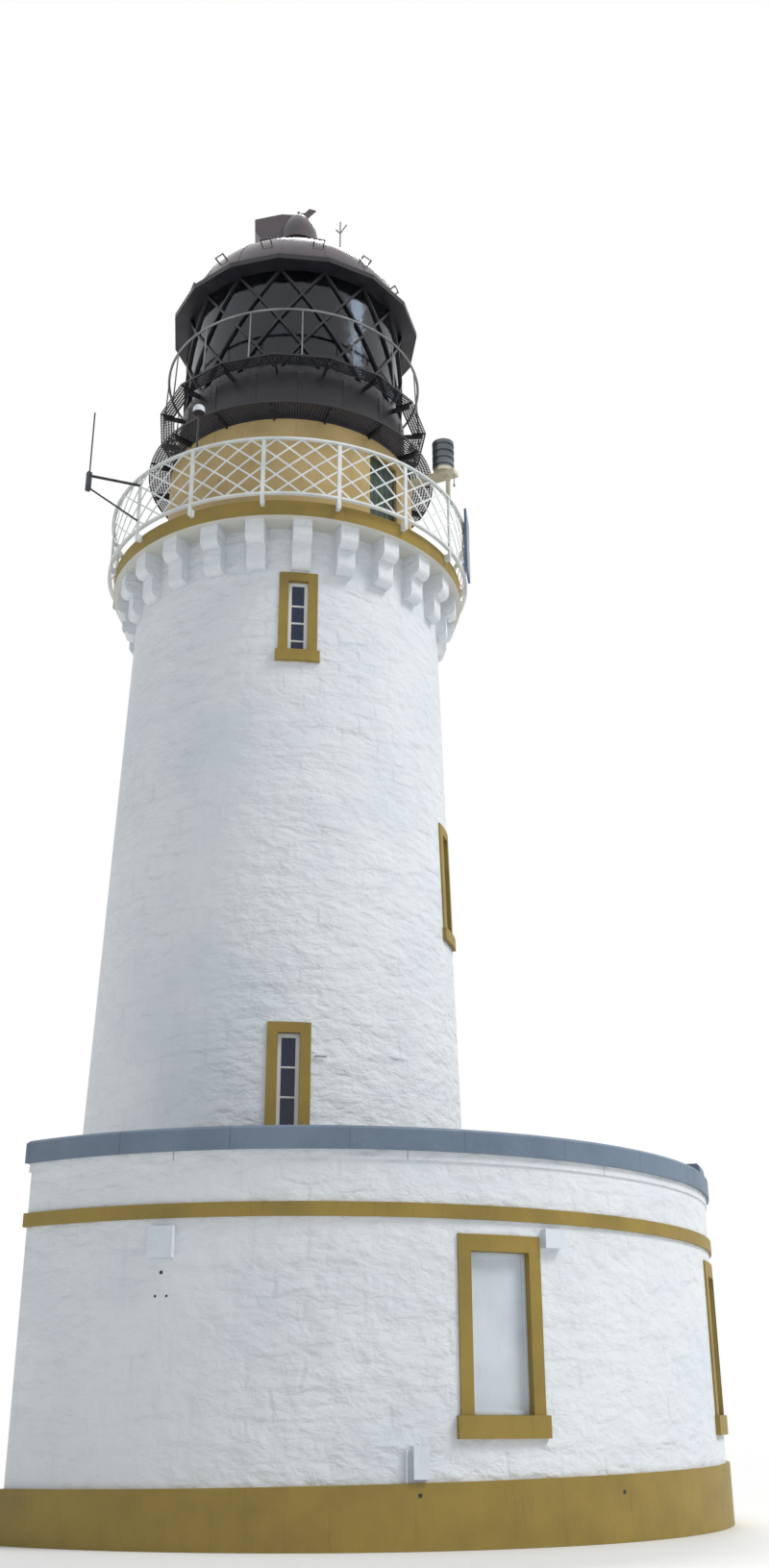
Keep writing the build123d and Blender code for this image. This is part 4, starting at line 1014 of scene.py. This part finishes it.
# A short conduit above the plinth, under the low box
CONDUIT_BEARING = -41.9
CONDUIT_LEVEL = 0.77
CONDUIT_HALF = 0.155
CONDUIT_RADIUS = 0.016
CONDUIT_SETOUT = 0.018
conduit = Shape()
place = facing(CONDUIT_BEARING, ANNEX_RADIUS + CONDUIT_SETOUT, CONDUIT_LEVEL, ANNEX_Y)
conduit.rod(place, (0, -CONDUIT_HALF, 0), (0, CONDUIT_HALF, 0), CONDUIT_RADIUS)
conduit.finish("wall_conduit", "box_plastic")

# Clamp that holds the whip between the tips of the side aerial's tubes
WHIP_RADIUS = 3.955
CLAMP_LEVEL = 14.77
CLAMP_SETOUT = 0.005
CLAMP_SIZE = (0.07, 0.34, 0.075)
CLAMP_ROUND = 0.008
CLAMP_BOLT_HALF = 0.05
CLAMP_BOLT_RISE = 0.1
CLAMP_BOLT_RADIUS = 0.009
clamp = Shape()
aerial_bearing = BAY_BEARING + SIDE_AERIAL_BAY * BAY_ANGLE
place = facing(aerial_bearing, WHIP_RADIUS + CLAMP_SETOUT, CLAMP_LEVEL)
clamp.box(place, (0, 0, 0), CLAMP_SIZE, CLAMP_ROUND)
for rise in (CLAMP_BOLT_RISE, -CLAMP_BOLT_RISE):
    left = (-CLAMP_BOLT_HALF, rise, 0)
    clamp.rod(place, left, (CLAMP_BOLT_HALF, rise, 0), CLAMP_BOLT_RADIUS)
clamp.finish("aerial_clamp", "grey_metal", finish=dark_steel)

# A short raised stone on the coping at the right: its profile is set out from the annex's radius
# and the coping's top
RAISED_FROM = 16.0
RAISED_TO = 24.0
RAISED_RISE = 0.12
RAISED_STEPS = 6
RAISED_PROFILE = (
    (-0.24, -0.03),
    (0.03, -0.04),
    (0.02, RAISED_RISE - 0.03),
    (-0.01, RAISED_RISE),
    (-0.24, RAISED_RISE),
)
raised = Shape()
rings = []
for step in range(RAISED_STEPS + 1):
    bearing = RAISED_FROM + (RAISED_TO - RAISED_FROM) * step / RAISED_STEPS
    rings.append(
        [
            spot(bearing, ANNEX_RADIUS + reach, COPING_TOP + rise, ANNEX_Y)
            for reach, rise in RAISED_PROFILE
        ]
    )
raised.swept(rings)
raised.finish("coping_raised_stone", "coping_stone")

# Small holes left in the annex wall under a box, and vents in the plinth: bearing, level, radius
WALL_HOLES = (
    (LEFT_BOX_BEARING, 2.66, 0.02),
    (LEFT_BOX_BEARING - 0.6, 2.42, 0.014),
    (LEFT_BOX_BEARING + 0.8, 2.42, 0.014),
)
PLINTH_VENTS = ((-40.5, 0.504, 0.021), (-13.8, 0.489, 0.021))
PLINTH_PROJECTION = 0.05
HOLE_ROOT = -0.01
HOLE_LIP = 0.003
VENT_LIP = 0.004
holes = Shape()
for table, face, lip in (
    (WALL_HOLES, ANNEX_RADIUS, HOLE_LIP),
    (PLINTH_VENTS, ANNEX_RADIUS + PLINTH_PROJECTION, VENT_LIP),
):
    for bearing, level, radius in table:
        place = facing(bearing, face, level, ANNEX_Y)
        holes.rod(place, (0, 0, HOLE_ROOT), (0, 0, lip), radius)
holes.finish("wall_holes", "black_iron")

# Floor, which fades to white far away, where the camera sees it or metal and glass show it
FLOOR_REACH = 90
FLOOR_LEVEL = -0.002
FADE_FROM = 22
FADE_TO = 70
WHITE = (1, 1, 1, 1)
SHOWN_RAYS = ("Is Camera Ray", "Is Glossy Ray", "Is Transmission Ray")
bpy.ops.mesh.primitive_plane_add(size=2 * FLOOR_REACH, location=(0, 0, FLOOR_LEVEL))
floor = bpy.context.object
floor.name = "floor"
floor_finish = Finish("floor", paint(222, 222, 220), 0.9)
away = floor_finish.add("VectorMath", {0: floor_finish.place}, operation="LENGTH").outputs["Value"]
rays = floor_finish.add("LightPath").outputs
first, second, third = (rays[name] for name in SHOWN_RAYS)
shown = floor_finish.plus(floor_finish.plus(first, second), third)
fade = floor_finish.times(floor_finish.ramp(away, FADE_FROM, FADE_TO), shown)
white = floor_finish.add("Emission", {"Color": WHITE, "Strength": 1.0}).outputs[0]
blend = floor_finish.add("MixShader", {0: fade, 1: floor_finish.shader.outputs[0], 2: white})
surface = floor_finish.tree.nodes["Material Output"].inputs["Surface"]
floor_finish.tree.links.new(blend.outputs[0], surface)
floor.data.materials.append(floor_finish.material)

# Two soft far lights: bearing, height above the horizon, strength, width in degrees and colour
KEY = (20, 48, 2.15, 20, (1.0, 0.99, 0.97))
RIM_LIGHT = (120, 55, 1.2, 16, (1.0, 1.0, 1.0))
LAMP_DISTANCE = 60


def sun(name, bearing, height, strength, softness, colour):
    """A soft far light from a bearing and a height above the horizon."""
    lamp = bpy.data.lights.new(name, "SUN")
    lamp.energy = strength
    lamp.angle = radians(softness)
    lamp.color = colour
    piece = bpy.data.objects.new(name, lamp)
    source = spot(bearing, cos(radians(height)), sin(radians(height)))
    piece.rotation_euler = source.to_track_quat("Z", "Y").to_euler()
    piece.location = source * LAMP_DISTANCE
    bpy.context.scene.collection.objects.link(piece)
    return piece


key = sun("key", *KEY)
key.visible_glossy = False
sun("rim", *RIM_LIGHT)

# World: white where it is seen or mirrored, and a cooler, weaker fill as light on the object
FILL_COLOUR = (0.93, 0.96, 1.0, 1)
FILL_STRENGTH = 0.52
world = bpy.data.worlds.new("studio")
bpy.context.scene.world = world
world.use_nodes = True
tree = world.node_tree
tree.nodes.clear()


def background(colour, strength):
    made = tree.nodes.new("ShaderNodeBackground")
    made.inputs["Color"].default_value = colour
    made.inputs["Strength"].default_value = strength
    return made.outputs[0]


ray = tree.nodes.new("ShaderNodeLightPath")
mirrored = tree.nodes.new("ShaderNodeMath")
shown = tree.nodes.new("ShaderNodeMath")
choice = tree.nodes.new("ShaderNodeMixShader")
result = tree.nodes.new("ShaderNodeOutputWorld")
first, second, third = (ray.outputs[name] for name in SHOWN_RAYS)
tree.links.new(first, mirrored.inputs[0])
tree.links.new(second, mirrored.inputs[1])
tree.links.new(mirrored.outputs[0], shown.inputs[0])
tree.links.new(third, shown.inputs[1])
tree.links.new(shown.outputs[0], choice.inputs[0])
tree.links.new(background(FILL_COLOUR, FILL_STRENGTH), choice.inputs[1])
tree.links.new(background(WHITE, 1.0), choice.inputs[2])
tree.links.new(choice.outputs[0], result.inputs["Surface"])

bpy.context.scene.view_settings.view_transform = "Standard"

# The camera stands on the ground and looks up at the tower
EYE = (-17.2449, -14.4702, 1.25)
HEADING = 35.8222
PITCH = 22.8199
ROLL = -0.0864
LENS = 34.4464
SENSOR_WIDTH = 36
CLIP_END = 500
camera = bpy.data.cameras.new("camera")
camera.sensor_width = SENSOR_WIDTH
camera.lens = LENS
camera.clip_end = CLIP_END
eye = bpy.data.objects.new("camera", camera)
bpy.context.scene.collection.objects.link(eye)
aim = Matrix.Rotation(radians(HEADING - 90), 4, "Z") @ Matrix.Rotation(radians(90 + PITCH), 4, "X")
eye.matrix_world = Matrix.Translation(EYE) @ aim @ Matrix.Rotation(radians(ROLL), 4, "Z")
bpy.context.scene.camera = eye
